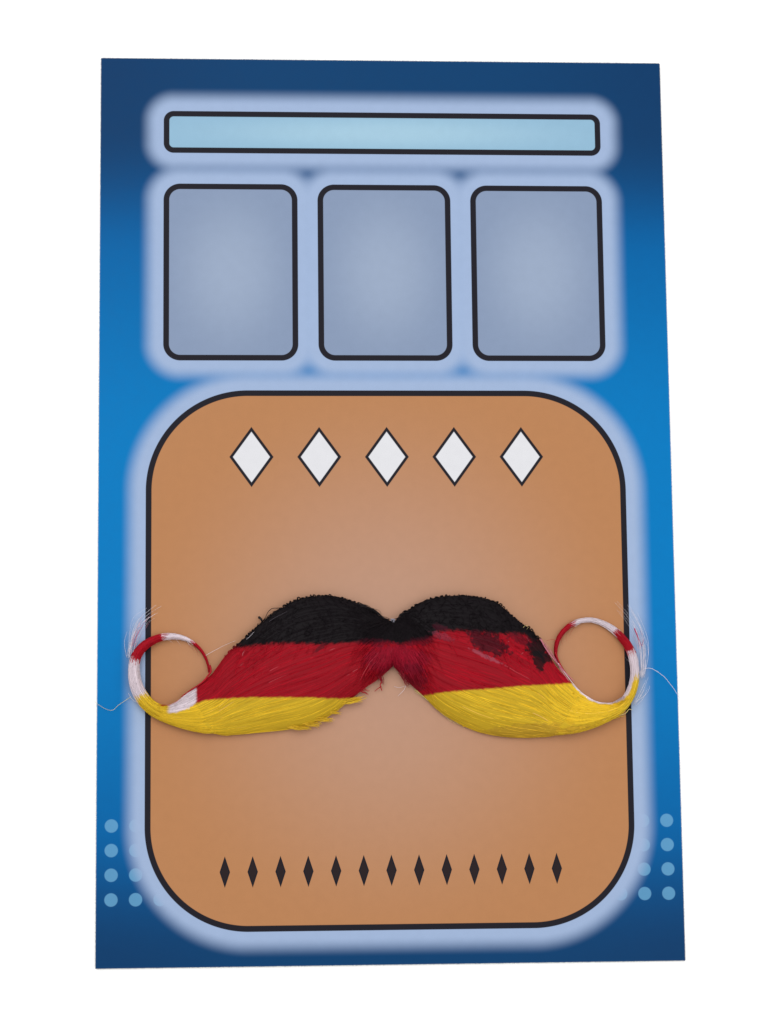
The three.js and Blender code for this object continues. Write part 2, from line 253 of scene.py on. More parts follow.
@dataclass(frozen=True)
class Side:
    """One half of the moustache, worked out from the parting outwards.

    The curl's eye lies reach out and eye_drop down from the parting. Hair enters the curl at wrist_angle.
    """

    name: str
    mirror: int
    reach: float
    eye_drop: float
    belly_drop: float
    curl_radius: float
    wrist_angle: float
    ribs: tuple[Rib, ...]
    turns: tuple[Turn, ...]
    inks: tuple[Ink, ...]
    sliver: Sliver
    seed: int

    def curl_rib(self, at: np.ndarray) -> tuple[np.ndarray, np.ndarray, np.ndarray]:
        """Finds the two ends of the curl's rib and its depth.

        Args:
            at: Places along the curl, 0 at the wrist and 1 at the tip.

        Returns:
            Inner ends, outer ends and depths.
        """
        turn, inner, outer, depth = np.moveaxis(follow(table(self.turns), at), -1, 0)
        angle = np.radians(self.wrist_angle + turn)
        ray = np.stack([np.cos(angle), np.sin(angle)], -1)
        eye = np.array([self.reach, -self.eye_drop])
        ends = [eye + ray * (share * self.curl_radius)[..., None] for share in (inner, outer)]
        return ends[0], ends[1], depth * CURL_DEPTH

    def curl_skin(self, along: np.ndarray, angle: np.ndarray, swell: np.ndarray | float = 1.0) -> np.ndarray:
        """Places points round the curl's sections.

        Args:
            along: Places along the curl.
            angle: Angles round each section, 0 at the eye and a half turn at the outside.
            swell: How far each point stands out, as a share of the section.

        Returns:
            Points in the frame, in metres.
        """
        inner, outer, depth = self.curl_rib(along)
        middle, half = (inner + outer) / 2, np.linalg.norm(outer - inner, axis=-1)[:, None] / 2
        ray = (outer - inner) / (2 * half)
        belly = CURL_BELLY_SHARE * depth[:, None]
        flat = middle[:, None] - ray[:, None] * (half * swell * np.cos(angle))[..., None]
        rise = np.sin(angle) * np.where(np.sin(angle) > 0, depth[:, None] - belly, belly) * swell
        return self.place(flat, HAIR_FLOOR + belly + rise)

    def outline(self) -> tuple[np.ndarray, np.ndarray, np.ndarray]:
        """Works out what the wing's outline and depth go through.

        Returns:
            Points of the upper outline, points of the lower one, and depths.
        """
        start = PARTING_GAP / 2
        span = self.reach - self.curl_radius - start
        rows = table(self.ribs)
        inner, outer, depth = (part[0] for part in self.curl_rib(np.zeros(1)))
        rib = (outer - inner) / np.linalg.norm(outer - inner)
        back = np.array([rib[1], -rib[0]]) * CONTACT_GAP
        tops = np.stack([start + rows[:, 0] * span, rows[:, 1] * HUMP_RISE], -1)
        bottoms = np.stack([start + rows[:, 2] * span, -rows[:, 3] * self.belly_drop], -1)
        depths = np.append(rows[:, 4] * HAIR_DEPTH, depth)[:, None]
        return np.vstack([tops, inner + back]), np.vstack([bottoms, outer + back]), depths

    def top_edge(self, along: np.ndarray, margin: np.ndarray) -> np.ndarray:
        """Follows the upper outline, moved in by a margin square to it.

        Args:
            along: Places along the wing.
            margin: How far in, for each place.

        Returns:
            Points out from and up from the parting.
        """
        tops = self.outline()[0]
        step = 1e-3
        tangent = follow(tops, along + step) - follow(tops, along - step)
        tangent /= np.linalg.norm(tangent, axis=-1, keepdims=True)
        inwards = np.stack([tangent[..., 1], -tangent[..., 0]], -1)
        return follow(tops, along) + inwards * margin[..., None]

    def place(self, flat: np.ndarray, height: np.ndarray) -> np.ndarray:
        """Puts points of this half into the frame.

        Args:
            flat: Distances out from and up from the parting, in millimetres.
            height: Heights over the floor, in millimetres.

        Returns:
            Points in the frame, in metres.
        """
        x = PARTING[0] + self.mirror * flat[..., 0]
        y = PARTING[1] + flat[..., 1]
        return np.stack([x, y, np.broadcast_to(height, x.shape)], -1) * MM

    def wing_rib(self, along: np.ndarray) -> tuple[np.ndarray, np.ndarray, np.ndarray]:
        """Finds the wing's ribs, far enough in to leave room for loose strands.

        Args:
            along: Places along the wing.

        Returns:
            Upper ends, lower ends and depths.
        """
        _, bottoms, depths = self.outline()
        free = 1 - smoothstep(along, EDGING_SPAN[1], 1)
        top, bottom = self.top_edge(along, TOP_MARGIN * free), follow(bottoms, along)
        inwards = (top - bottom) / np.linalg.norm(top - bottom, axis=-1, keepdims=True)
        bottom = bottom + inwards * (BOTTOM_MARGIN * free)[..., None]
        return top, bottom, follow(depths, along)[..., 0]

    def wing_skin(self, along: np.ndarray, across: np.ndarray,
                  over: np.ndarray | float = 0.0) -> tuple[np.ndarray, np.ndarray]:
        """Works out the wing's crowned, locked top, for every place along by every place across.

        Args:
            along: Places along the wing.
            across: Places across it.
            over: How far past its edges each place across is pushed out, as a share of the width.

        Returns:
            Points out from and up from the parting, and their heights over the floor.
        """
        top, bottom, depth = self.wing_rib(along)
        width = np.linalg.norm(bottom - top, axis=-1)[:, None]
        flat = top[:, None] + (bottom - top)[:, None] * (across + over)[None, :, None]
        return flat, self.wing_height(along[:, None], across[None], width, depth[:, None])

    def wing_height(self, along: np.ndarray, across: np.ndarray, width: np.ndarray,
                    depth: np.ndarray) -> np.ndarray:
        """Works out how high the wing's top is.

        The crown leans to the upper edge, where it is full, and evens out where hair gathers at the wrist.

        Args:
            along: Places along the wing.
            across: Places across it.
            width: Width of the wing at each place along it.
            depth: Its depth there.

        Returns:
            Heights over the floor.
        """
        gathered = smoothstep(along, 0.6, 1)
        lean, fullness = 1.35 - 0.35 * gathered, 0.62 - 0.12 * gathered
        crown = np.clip(np.sin(np.pi * across ** lean), 0, 1) ** fullness
        rolled = smoothstep(across * width - width, -2 * ROLL_WIDTH, 0)
        floor = NET_TOP + (HAIR_FLOOR - NET_TOP) * np.maximum(rolled, gathered)
        lift = LOCK_RELIEF * (1 - smoothstep(along, EDGING_SPAN[1], 1)) * self.lock_lift(along, across)
        return floor + HAIR_RIM + (depth - HAIR_RIM + lift) * crown

    @staticmethod
    def lock_lift(along: np.ndarray, across: np.ndarray) -> np.ndarray:
        """Rises over each lock from its upper edge to its lower one, where the next lock starts low.

        Args:
            along: Places along the wing.
            across: Places across it.

        Returns:
            Lifts, as shares of the locks' relief.
        """
        sway, swings, stagger = 0.022, 5, 2.3
        crest, fall = 0.9, 9
        lift = np.zeros(np.broadcast(along, across).shape)
        for lock in range(LOCK_COUNT):
            low, high = (
                k / LOCK_COUNT + (sway * np.sin(swings * along + stagger * k) if 0 < k < LOCK_COUNT else 0)
                for k in (lock, lock + 1)
            )
            share = (across - low) / (high - low)
            shape = np.where(share < crest, share - crest / 2, crest / 2 - (share - crest) * fall)
            lift = np.where((share >= 0) & (share <= 1), shape, lift)
        return lift


LEFT = Side(
    name="left", mirror=-1, seed=11, reach=63.8, eye_drop=7.6, belly_drop=26.0, curl_radius=10.0,
    wrist_angle=-123.0, ribs=LEFT_RIBS, turns=LEFT_TURNS,
    sliver=Sliver(-6.5, 41, ((-30, 10.6), (0, 11.1), (22, 11.7), (60, 11.9))),
    inks=(
        Ink(86, YELLOW_DYE), Ink(139, BARE_HAIR), Ink(198, RED_DYE), Ink(244, BARE_HAIR), Ink(360, RED_DYE),
    ),
)
RIGHT = Side(
    name="right", mirror=1, seed=29, reach=59.0, eye_drop=5.2, belly_drop=27.4, curl_radius=11.0,
    wrist_angle=-118.0, ribs=RIGHT_RIBS, turns=RIGHT_TURNS,
    sliver=Sliver(-8.2, 110, (
        (-30, 8.8), (9, 10.8), (32, 12.4), (54, 13.5), (70, 13.6), (85, 12.7), (112, 11.9),
    )),
    inks=(
        Ink(96, YELLOW_DYE), Ink(132, BARE_HAIR), Ink(171, RED_DYE), Ink(236, BARE_HAIR), Ink(360, RED_DYE),
    ),
)

# Where the black band and the red band end, as places right of and heights over the parting
BLACK_LINE = (
    (-60, -0.8), (-43.8, -0.6), (-36, 0), (-28, 0), (-20.7, -0.3), (-12.2, 0.1), (-7, 0.3), (-1.8, 0.5),
    (1.7, 0), (4.8, 0.5), (8.5, 0.9), (10.6, 1.6), (13.1, 3.4), (17.3, 3.5), (22.5, 3.3), (31, 2.6),
    (38.2, 2.6), (40, 1), (60, 0.4),
)
RED_LINE = (
    (-60, -17.4), (-57.1, -16.8), (-53.6, -15.9), (-48.4, -15.6), (-27.9, -15.5), (-17.5, -15.8),
    (-10, -15.3), (9.8, -14.8), (14.5, -14.3), (27.5, -13.4), (35.3, -12.8), (43.1, -12.3), (52.6, -11.5),
    (60, -10.6),
)
DYE_AND_SHADE_PATCHES = (
    ColourPatch((42.0, -1.2), (3.4, 3.2), -20, BLACK_DYE, 0.95, 0.8),
    ColourPatch((42.2, -5.0), (1.7, 3.6), 12, BLACK_DYE, 0.9, 0.9),
    ColourPatch((44.4, -4.2), (2.2, 1.7), -30, BLACK_DYE, 0.9, 0.9),
    ColourPatch((27.0, 0.2), (6.2, 3.2), -25, srgb(60, 10, 26), 0.85, 1.0),
    ColourPatch((37.0, 1.2), (4.0, 1.6), -20, srgb(84, 12, 32), 0.6, 1.2),
    ColourPatch((26.5, -4.0), (5.2, 0.6), -26, srgb(196, 110, 130), 0.45, 1.0),
    ColourPatch((14.0, 2.0), (3.6, 1.1), -22, srgb(158, 70, 92), 0.42, 1.0),
    ColourPatch((0.5, -4.8), (10.0, 4.4), 0, srgb(152, 26, 58), 0.45, 0.5),
    ColourPatch((-21.7, -1.3), (2.7, 0.6), 36, srgb(84, 12, 28), 0.65, 0.7),
    # Painted shade: a darker yellow along the right wing's lower rim, where its underside turns away from the
    # light
    ColourPatch((41.0, -25.6), (17.0, 2.2), 2, srgb(205, 158, 52), 0.55, 0.8),
    ColourPatch((13.4, 4.6), (2.6, 1.1), -15, srgb(74, 14, 34), 0.7, 0.9),
    ColourPatch((5.8, -9.4), (3.2, 4.4), 20, MAROON_DYE, 0.65, 1.0),
    ColourPatch((7.6, 0.6), (5.4, 1.3), 8, srgb(84, 14, 36), 0.55, 0.9),
    ColourPatch((-5.6, 0.5), (5.6, 1.1), -2, srgb(84, 14, 36), 0.5, 0.9),
)


class NodeSketch:
    """Adds and joins the nodes of one tree. Sockets are given in order, and None leaves one as it is."""

    def __init__(self, tree: bpy.types.NodeTree) -> None:
        """Starts on a tree, whose nodes are cleared."""
        self.tree = tree
        tree.nodes.clear()

    def feed(self, socket: Socket, value: Any) -> None:
        """Joins a socket to an input, or sets the input's plain value.

        Args:
            socket: The input.
            value: A socket, a plain value, or None to leave the input as it is.
        """
        if isinstance(value, Socket):
            self.tree.links.new(value, socket)
        elif value is not None:
            socket.default_value = value

    def add(self, kind: str, *values: Any, **settings: Any) -> bpy.types.Node:
        """Adds a node.

        Args:
            kind: The node's type.
            values: Sockets or values for its enabled inputs, in order.
            settings: Properties of the node.

        Returns:
            The node.
        """
        node = self.tree.nodes.new(kind)
        for name, value in settings.items():
            setattr(node, name, value)
        for socket, value in zip([s for s in node.inputs if s.enabled], values):
            self.feed(socket, value)
        return node

    def out(self, kind: str, *values: Any, **settings: Any) -> Socket:
        """Adds a node and returns its first enabled output."""
        node = self.add(kind, *values, **settings)
        return next(s for s in node.outputs if s.enabled)

    def math(self, operation: str, *values: Any) -> Socket:
        """Adds a maths node and returns its result."""
        return self.out("ShaderNodeMath", *values, operation=operation)

    def vector(self, operation: str, *values: Any) -> Socket:
        """Adds a vector maths node and returns its result."""
        return self.out("ShaderNodeVectorMath", *values, operation=operation)

    def sway(self, value: Any, span: float, middle: float = 0.0) -> Socket:
        """Spreads a value of 0 to 1 over a span about a middle."""
        return self.math("MULTIPLY_ADD", value, span, middle - span / 2)

    def scale(self, vector: Any, factor: Any) -> Socket:
        """Multiplies a vector or a colour by a factor.

        Args:
            vector: The vector or colour.
            factor: The factor.

        Returns:
            The product.
        """
        node = self.add("ShaderNodeVectorMath", vector, operation="SCALE")
        self.feed(node.inputs["Scale"], factor)
        return node.outputs[0]

    def length(self, x: Any, y: Any) -> Socket:
        """Measures how long a flat vector is."""
        vector = self.out("ShaderNodeCombineXYZ", x, y, 0.0)
        return self.add("ShaderNodeVectorMath", vector, operation="LENGTH").outputs["Value"]

    def place(self) -> Socket:
        """Reads the place on the piece, in metres."""
        return self.add("ShaderNodeTexCoord").outputs["Object"]

    def stored(self, name: str, output: str = "Fac") -> Socket:
        """Reads a stored attribute."""
        return self.add("ShaderNodeAttribute", attribute_name=name).outputs[output]

    def mix(self, factor: Any, first: Any, second: Any) -> Socket:
        """Mixes two colours by a factor."""
        return self.out("ShaderNodeMix", factor, first, second, data_type="RGBA", clamp_factor=True)

    def noise(self, vector: Any, scale: float, detail: float = 3.0) -> Socket:
        """Adds a noise texture and returns its value, about 0.5."""
        return self.out("ShaderNodeTexNoise", vector, scale, detail)

    def ramp(self, value: Any, low: float, high: float) -> Socket:
        """Eases a value from 0 at low to 1 at high."""
        return self.out("ShaderNodeMapRange", value, low, high, 0.0, 1.0, interpolation_type="SMOOTHSTEP")

    def split(self, vector: Any) -> list[Socket]:
        """Splits a vector into its three numbers."""
        return list(self.add("ShaderNodeSeparateXYZ", vector).outputs)

    def curve(self, value: Any, points: Sequence[Spot], low: float, high: float) -> Socket:
        """Draws a height over a place as a curve through points.

        Args:
            value: The place.
            points: Places and heights, in order of place.
            low: A height under every point.
            high: A height over every point.

        Returns:
            The height.
        """
        first, last = points[0][0], points[-1][0]
        share = self.out("ShaderNodeMapRange", value, first, last, 0.0, 1.0)
        node = self.add("ShaderNodeFloatCurve", 1.0, share)
        line = node.mapping.curves[0]
        scaled = [((x - first) / (last - first), (y - low) / (high - low)) for x, y in points]
        line.points[0].location, line.points[1].location = scaled[0], scaled[-1]
        for place in scaled[1:-1]:
            line.points.new(*place)
        node.mapping.update()
        return self.math("MULTIPLY_ADD", node.outputs[0], high - low, low)


def material(name: str) -> tuple[bpy.types.Material, NodeSketch]:
    """Starts a material.

    Args:
        name: Its name.

    Returns:
        The material, and a sketch of its empty tree.
    """
    made = bpy.data.materials.new(name)
    made.use_nodes = True
    return made, NodeSketch(made.node_tree)


def surface(sketch: NodeSketch, colour: Any, rough: Any, bump: Any = None, depth: float = 0.0,
            **levels: float) -> None:
    """Ends a material in one Principled surface.

    Args:
        sketch: The material's nodes.
        colour: Its colour.
        rough: Its roughness.
        bump: A height of 0 to 1, if the surface has relief.
        depth: How deep that relief is, in metres.
        levels: Plain numbers for other sockets, with _ for a space.
    """
    shader = sketch.add("ShaderNodeBsdfPrincipled")
    for name, value in {"Base Color": colour, "Roughness": rough, **levels}.items():
        sketch.feed(shader.inputs[name.replace("_", " ")], value)
    if bump is not None:
        relief = sketch.add("ShaderNodeBump")
        sketch.feed(relief.inputs["Distance"], depth)
        sketch.feed(relief.inputs["Height"], bump)
        sketch.feed(shader.inputs["Normal"], relief.outputs[0])
    sketch.add("ShaderNodeOutputMaterial", shader.outputs[0])


@dataclass(frozen=True)
class HairPaint:
    """The dyes of one half of the moustache, painted with nodes.

    The flat socket gives places in millimetres from the parting, and the tone socket a number of 0 to 1 that
    each strand has for its own.
    """

    side: Side
    sketch: NodeSketch
    flat: Socket
    tone: Socket

    def bands(self) -> Socket:
        """Paints the black, red and yellow bands, with ragged edges, smudges of stray dye and painted shade
        along the right wing's lower rim.

        Returns:
            The colour.
        """
        sketch = self.sketch
        x, y, _ = sketch.split(self.flat)
        patches = sketch.sway(sketch.noise(self.flat, 0.9, 4.0), 1.7)
        stray = sketch.math("ADD", patches, sketch.sway(self.tone, 0.7))
        crisp = sketch.math("MULTIPLY", stray, 0.4)
        black = sketch.math("SUBTRACT", sketch.math("ADD", y, stray), sketch.curve(x, BLACK_LINE, -5, 10))
        red = sketch.math("SUBTRACT", sketch.math("ADD", y, crisp), sketch.curve(x, RED_LINE, -20, -5))
        colour = sketch.mix(sketch.ramp(red, -0.35, 0.35), YELLOW_DYE, RED_DYE)
        faded = sketch.math("MULTIPLY", sketch.ramp(self.tone, 0.982, 0.992), 0.3)
        colour = sketch.mix(faded, colour, PALE_HAIR)
        colour = sketch.mix(sketch.ramp(black, -0.7, 0.7), colour, BLACK_DYE)
        for patch in DYE_AND_SHADE_PATCHES:
            colour = self.smudged(colour, patch)
        return colour

    def smudged(self, colour: Socket, patch: ColourPatch) -> Socket:
        """Mixes one patch over a colour.

        Args:
            colour: The colour.
            patch: The patch.

        Returns:
            The colour with the patch on it.
        """
        sketch = self.sketch
        tilt = (0.0, 0.0, math.radians(patch.tilt))
        own = sketch.out("ShaderNodeMapping", self.flat, (*patch.middle, 0.0), tilt, (*patch.half, 1.0),
                         vector_type="TEXTURE")
        x, y, _ = sketch.split(own)
        ragged = sketch.sway(sketch.noise(self.flat, 0.8, 5.0), 2 * patch.ragged)
        away = sketch.math("ADD", sketch.length(x, y), ragged)
        inside = sketch.math("MULTIPLY", sketch.ramp(away, 1.15, 0.75), patch.strength)
        return sketch.mix(inside, colour, patch.colour)

    def rings(self) -> Socket:
        """Paints the rings of dye round the curl, with edges that stray along the hairs.

        Returns:
            The colour.
        """
        sketch = self.sketch
        turn, _, _ = self.about_eye()
        patches = sketch.sway(sketch.noise(self.flat, 0.7, 4.0), 16.0)
        turn = sketch.math("ADD", turn, sketch.math("ADD", patches, sketch.sway(self.tone, 9.0)))
        colour = self.side.inks[0].colour
        for before, ink in zip(self.side.inks, self.side.inks[1:]):
            colour = sketch.mix(sketch.ramp(turn, before.upto - 2, before.upto + 2), colour, ink.colour)
        return colour

    def bare_wrist(self, colour: Socket) -> Socket:
        """Leaves a sliver of undyed hair along the curl's inside, where the spray didn't reach.

        Args:
            colour: The colour of the dyed hair.

        Returns:
            The colour with the sliver in it.
        """
        sketch, sliver = self.sketch, self.side.sliver
        turn, away, out = self.about_eye()
        ragged = sketch.sway(sketch.noise(self.flat, 0.8, 3.0), 1.2)
        edge = sketch.curve(turn, sliver.edge, 5, 20)
        past = sketch.math("SUBTRACT", sketch.math("ADD", away, ragged), edge)
        begun = sketch.ramp(sketch.math("ADD", out, ragged), sliver.begins - 0.4, sliver.begins + 0.4)
        begun = sketch.math("MULTIPLY", begun, sketch.ramp(turn, sliver.ends + 4, sliver.ends - 4))
        return sketch.mix(sketch.math("MULTIPLY", sketch.ramp(past, 0.3, -0.3), begun), colour, BARE_HAIR)

    def about_eye(self) -> tuple[Socket, Socket, Socket]:
        """Measures places about the curl's eye.

        Returns:
            Degrees round from the wrist, -40 to 320, and millimetres from the eye's middle and out past it.
        """
        sketch = self.sketch
        x, y, _ = sketch.split(self.flat)
        out = sketch.math("MULTIPLY_ADD", x, float(self.side.mirror), -self.side.reach)
        up = sketch.math("ADD", y, self.side.eye_drop)
        turn = sketch.math("DEGREES", sketch.math("ARCTAN2", up, out))
        turn = sketch.math("WRAP", sketch.math("SUBTRACT", turn, self.side.wrist_angle), 320.0, -40.0)
        return turn, sketch.length(out, up), out


class Zone(Enum):
    """Which part of the dyed hair a finish is for."""

    WING = "wing"
    CURL = "curl"


@dataclass(frozen=True)
class DyedHair:
    """Hair sprayed in bands on the wings and in rings round a curl, with streaks along it and across it."""

    side: Side
    zone: Zone
    roughness: float = 0.55
    shade: float = 1.0
    streaks: float = 0.56
    broad: Place = (5.0, 42.0, 1.0)
    fine: Place = (9.0, 170.0, 1.0)
    gloss: float = 0.12

    def build(self) -> bpy.types.Material:
        """Builds the finish.

        Returns:
            The material.
        """
        made, sketch = material(f"{self.side.name}_{self.zone.value}_hair")
        flat = sketch.vector("MULTIPLY_ADD", sketch.place(), (1 / MM,) * 3, (-PARTING[0], -PARTING[1], 0.0))
        flow, tone = sketch.stored(FLOW, "Vector"), sketch.stored(TONE)
        paint = HairPaint(self.side, sketch, flat, tone)
        colour = paint.bare_wrist(paint.bands() if self.zone is Zone.WING else paint.rings())
        broad = sketch.noise(sketch.vector("MULTIPLY", flow, self.broad), 1.0, 4.0)
        fine = sketch.noise(sketch.vector("MULTIPLY", flow, self.fine), 1.0, 2.0)
        level = sketch.math("MULTIPLY", sketch.sway(broad, self.streaks, 0.82), sketch.sway(fine, 0.4, 1.0))
        # Pieces that store no tone, the bodies of locks and hanks, come out darker here: painted shade in the
        # gaps between strands
        level = sketch.math("MULTIPLY", level, sketch.math("MULTIPLY_ADD", tone, 0.4, 0.8 * self.shade))
        surface(sketch, sketch.scale(colour, level), self.roughness, Specular_IOR_Level=self.gloss)
        return made


@dataclass(frozen=True)
class LooseHair:
    """Single hairs, each in its own stored colour."""

    roughness: float = 0.45
    gloss: float = 0.2
    grain: float = 900.0

    def build(self) -> bpy.types.Material:
        """Builds the finish.

        Returns:
            The material.
        """
        made, sketch = material("loose_hair")
        level = sketch.sway(sketch.noise(sketch.place(), self.grain, 3.0), 0.5, 1.0)
        colour = sketch.scale(sketch.stored(DYE, "Color"), level)
        surface(sketch, colour, self.roughness, Specular_IOR_Level=self.gloss)
        return made


@dataclass(frozen=True)
class Netting:
    """Dark knotted net: a fine square mesh in relief on cloth. Its pitch and relief are in millimetres."""

    pitch: float = 0.9
    relief: float = 0.2
    roughness: float = 0.8
    ground: Colour = srgb(12, 10, 12)
    thread: Colour = srgb(44, 36, 42)

    def build(self) -> bpy.types.Material:
        """Builds the finish.

        Returns:
            The material.
        """
        made, sketch = material("knotted_net")
        x, y, _ = sketch.split(sketch.scale(sketch.place(), 2 * math.pi / (self.pitch * MM)))
        weave = sketch.math("MAXIMUM", sketch.math("SINE", x), sketch.math("SINE", y))
        weave = sketch.ramp(weave, -0.2, 0.9)
        colour = sketch.mix(weave, self.ground, self.thread)
        surface(sketch, colour, self.roughness, weave, self.relief * MM)
        return made


@dataclass(frozen=True)
class Adhesive:
    """Milky double-sided tape with fine scuffs. Their depth is in millimetres."""

    grain: float = 1400.0
    relief: float = 0.03
    dull: Colour = srgb(126, 124, 140)
    bright: Colour = srgb(176, 172, 188)

    def build(self) -> bpy.types.Material:
        """Builds the finish.

        Returns:
            The material.
        """
        made, sketch = material("adhesive_strip")
        scuffs = sketch.noise(sketch.place(), self.grain, 4.0)
        colour = sketch.mix(scuffs, self.dull, self.bright)
        surface(sketch, colour, sketch.math("MULTIPLY_ADD", scuffs, 0.3, 0.2), scuffs, self.relief * MM)
        return made


@dataclass(frozen=True)
class Panel:
    """A plain printed shape: middle, half sizes and corner radius in millimetres, and two colours."""

    middle: Spot
    half: Spot
    corner: float
    core: Colour
    rim: Colour
    line: float = 1.7
    halo: float = 7.5


@dataclass(frozen=True)
class Diamonds:
    """A row of plain outlined diamonds: height of the row, pitch, number and half sizes in millimetres."""

    height: float
    pitch: float
    count: int
    half: Spot
    fill: Colour
    line: float


@dataclass(frozen=True)
class Dots:
    """Rows of plain dots between two heights: pitch and radius in millimetres, colour and strength."""

    low: float
    high: float
    pitch: float
    radius: float
    colour: Colour
    strength: float


HEADER = (srgb(158, 174, 200), srgb(140, 157, 186))
PANELS = (
    Panel((0.0, 112.0), (66.0, 6.5), 3.0, srgb(168, 205, 226), srgb(150, 190, 216)),
    *(Panel((x, 69.0), (20.0, 27.0), 5.0, *HEADER) for x in (-46.0, 0.0, 46.0)),
    Panel((0.0, -46.0), (71.0, 79.0), 30.0, srgb(195, 152, 128), srgb(191, 134, 90)),
)
ROWS = (
    Diamonds(13.0, 20.0, 5, (6.5, 9.0), srgb(232, 232, 236), 0.16),
    Diamonds(-108.0, 8.0, 13, (1.5, 4.5), srgb(44, 34, 36), 0.3),
)
FOOT_DOTS = Dots(-119.0, -91.0, 7.0, 1.9, srgb(112, 176, 216), 0.7)


@dataclass(frozen=True)
class CardPrint:
    """The print on the card, painted with nodes at places x and y in millimetres from the card's middle."""

    sketch: NodeSketch
    x: Socket
    y: Socket
    outline: Colour

    def away(self, value: Any, middle: float) -> Socket:
        """Measures how far a place is from a middle."""
        return self.sketch.math("ABSOLUTE", self.sketch.math("SUBTRACT", value, middle))

    def ground(self) -> Socket:
        """Paints the blue ground, brightest half way down the sides and dark at the corners.

        Returns:
            The colour.
        """
        sketch = self.sketch
        height = self.away(self.y, -10.0)
        colour = sketch.mix(sketch.ramp(height, 20.0, 120.0), srgb(0, 125, 196), srgb(1, 92, 158))
        colour = sketch.mix(sketch.ramp(height, 84.0, 124.0), colour, srgb(12, 66, 114))
        out = sketch.ramp(sketch.math("ABSOLUTE", self.x), 30.0, 90.0)
        dark = sketch.math("MULTIPLY", out, sketch.ramp(height, 80.0, 150.0))
        return sketch.mix(sketch.math("MULTIPLY", dark, 0.5), colour, srgb(14, 54, 98))

    def dots(self, colour: Socket, dots: Dots) -> Socket:
        """Prints rows of dots over a colour.

        Args:
            colour: The colour.
            dots: The dots.

        Returns:
            The colour with the dots on it.
        """
        sketch = self.sketch
        cell = [
            sketch.math("SUBTRACT", sketch.math("WRAP", value, dots.pitch, 0.0), dots.pitch / 2)
            for value in (self.x, self.y)
        ]
        dot = sketch.ramp(sketch.length(*cell), dots.radius + 0.15, dots.radius - 0.15)
        over = sketch.math("GREATER_THAN", self.y, dots.low)
        under = sketch.math("LESS_THAN", self.y, dots.high)
        dot = sketch.math("MULTIPLY", dot, sketch.math("MULTIPLY", over, under))
        return sketch.mix(sketch.math("MULTIPLY", dot, dots.strength), colour, dots.colour)

    def gap(self, panel: Panel) -> Socket:
        """Measures how far a place lies outside a panel's rounded outline.

        Args:
            panel: The panel.

        Returns:
            Millimetres, under 0 inside it.
        """
        sketch = self.sketch
        over = [
            sketch.math("SUBTRACT", self.away(value, middle), half - panel.corner)
            for value, middle, half in zip((self.x, self.y), panel.middle, panel.half)
        ]
        beyond = sketch.length(*(sketch.math("MAXIMUM", value, 0.0) for value in over))
        within = sketch.math("MINIMUM", sketch.math("MAXIMUM", *over), 0.0)
        return sketch.math("SUBTRACT", sketch.math("ADD", beyond, within), panel.corner)

    def panel(self, colour: Socket, panel: Panel, gap: Socket) -> Socket:
        """Prints one panel over a colour, shaded from its middle to its rim.

        Args:
            colour: The colour.
            panel: The panel.
            gap: How far places lie outside it.

        Returns:
            The colour with the panel on it.
        """
        sketch = self.sketch
        off = [
            sketch.math("DIVIDE", sketch.math("SUBTRACT", value, middle), half)
            for value, middle, half in zip((self.x, self.y), panel.middle, panel.half)
        ]
        fill = sketch.mix(sketch.ramp(sketch.length(*off), 0.1, 1.1), panel.core, panel.rim)
        shape = sketch.mix(sketch.ramp(gap, -panel.line - 0.1, -panel.line + 0.1), fill, self.outline)
        return sketch.mix(sketch.ramp(gap, 0.1, -0.1), colour, shape)

    def diamonds(self, colour: Socket, row: Diamonds) -> Socket:
        """Prints one row of outlined diamonds over a colour.

        Args:
            colour: The colour.
            row: The row.

        Returns:
            The colour with the row on it.
        """
        sketch = self.sketch
        reach = row.pitch * row.count / 2
        across = sketch.math("WRAP", sketch.math("ADD", self.x, reach), row.pitch, 0.0)
        share = sketch.math("ADD", sketch.math("DIVIDE", self.away(across, row.pitch / 2), row.half[0]),
                            sketch.math("DIVIDE", self.away(self.y, row.height), row.half[1]))
        within = sketch.math("LESS_THAN", sketch.math("ABSOLUTE", self.x), reach)
        inner = 1 - row.line
        shape = sketch.mix(sketch.ramp(share, inner - 0.02, inner + 0.02), row.fill, self.outline)
        return sketch.mix(sketch.math("MULTIPLY", within, sketch.ramp(share, 1.02, 0.98)), colour, shape)

    def face(self, z: Socket, ragged: Socket) -> Socket:
        """Finds the printed face, up to the bare cut edge of the board.

        Args:
            z: Heights on the card.
            ragged: A number of 0 to 1 that wears the print's edge.

        Returns:
            1 where the board is printed and 0 where it is bare.
        """
        sketch = self.sketch
        left = [sketch.math("SUBTRACT", half, sketch.math("ABSOLUTE", value))
                for value, half in zip((self.x, self.y), CARD_HALF)]
        edge = sketch.math("ADD", sketch.math("MINIMUM", *left), sketch.sway(ragged, 0.5))
        top = sketch.math("GREATER_THAN", z, CARD_TOP - 0.01)
        return sketch.math("MULTIPLY", sketch.ramp(edge, 0.05, 0.3), top)


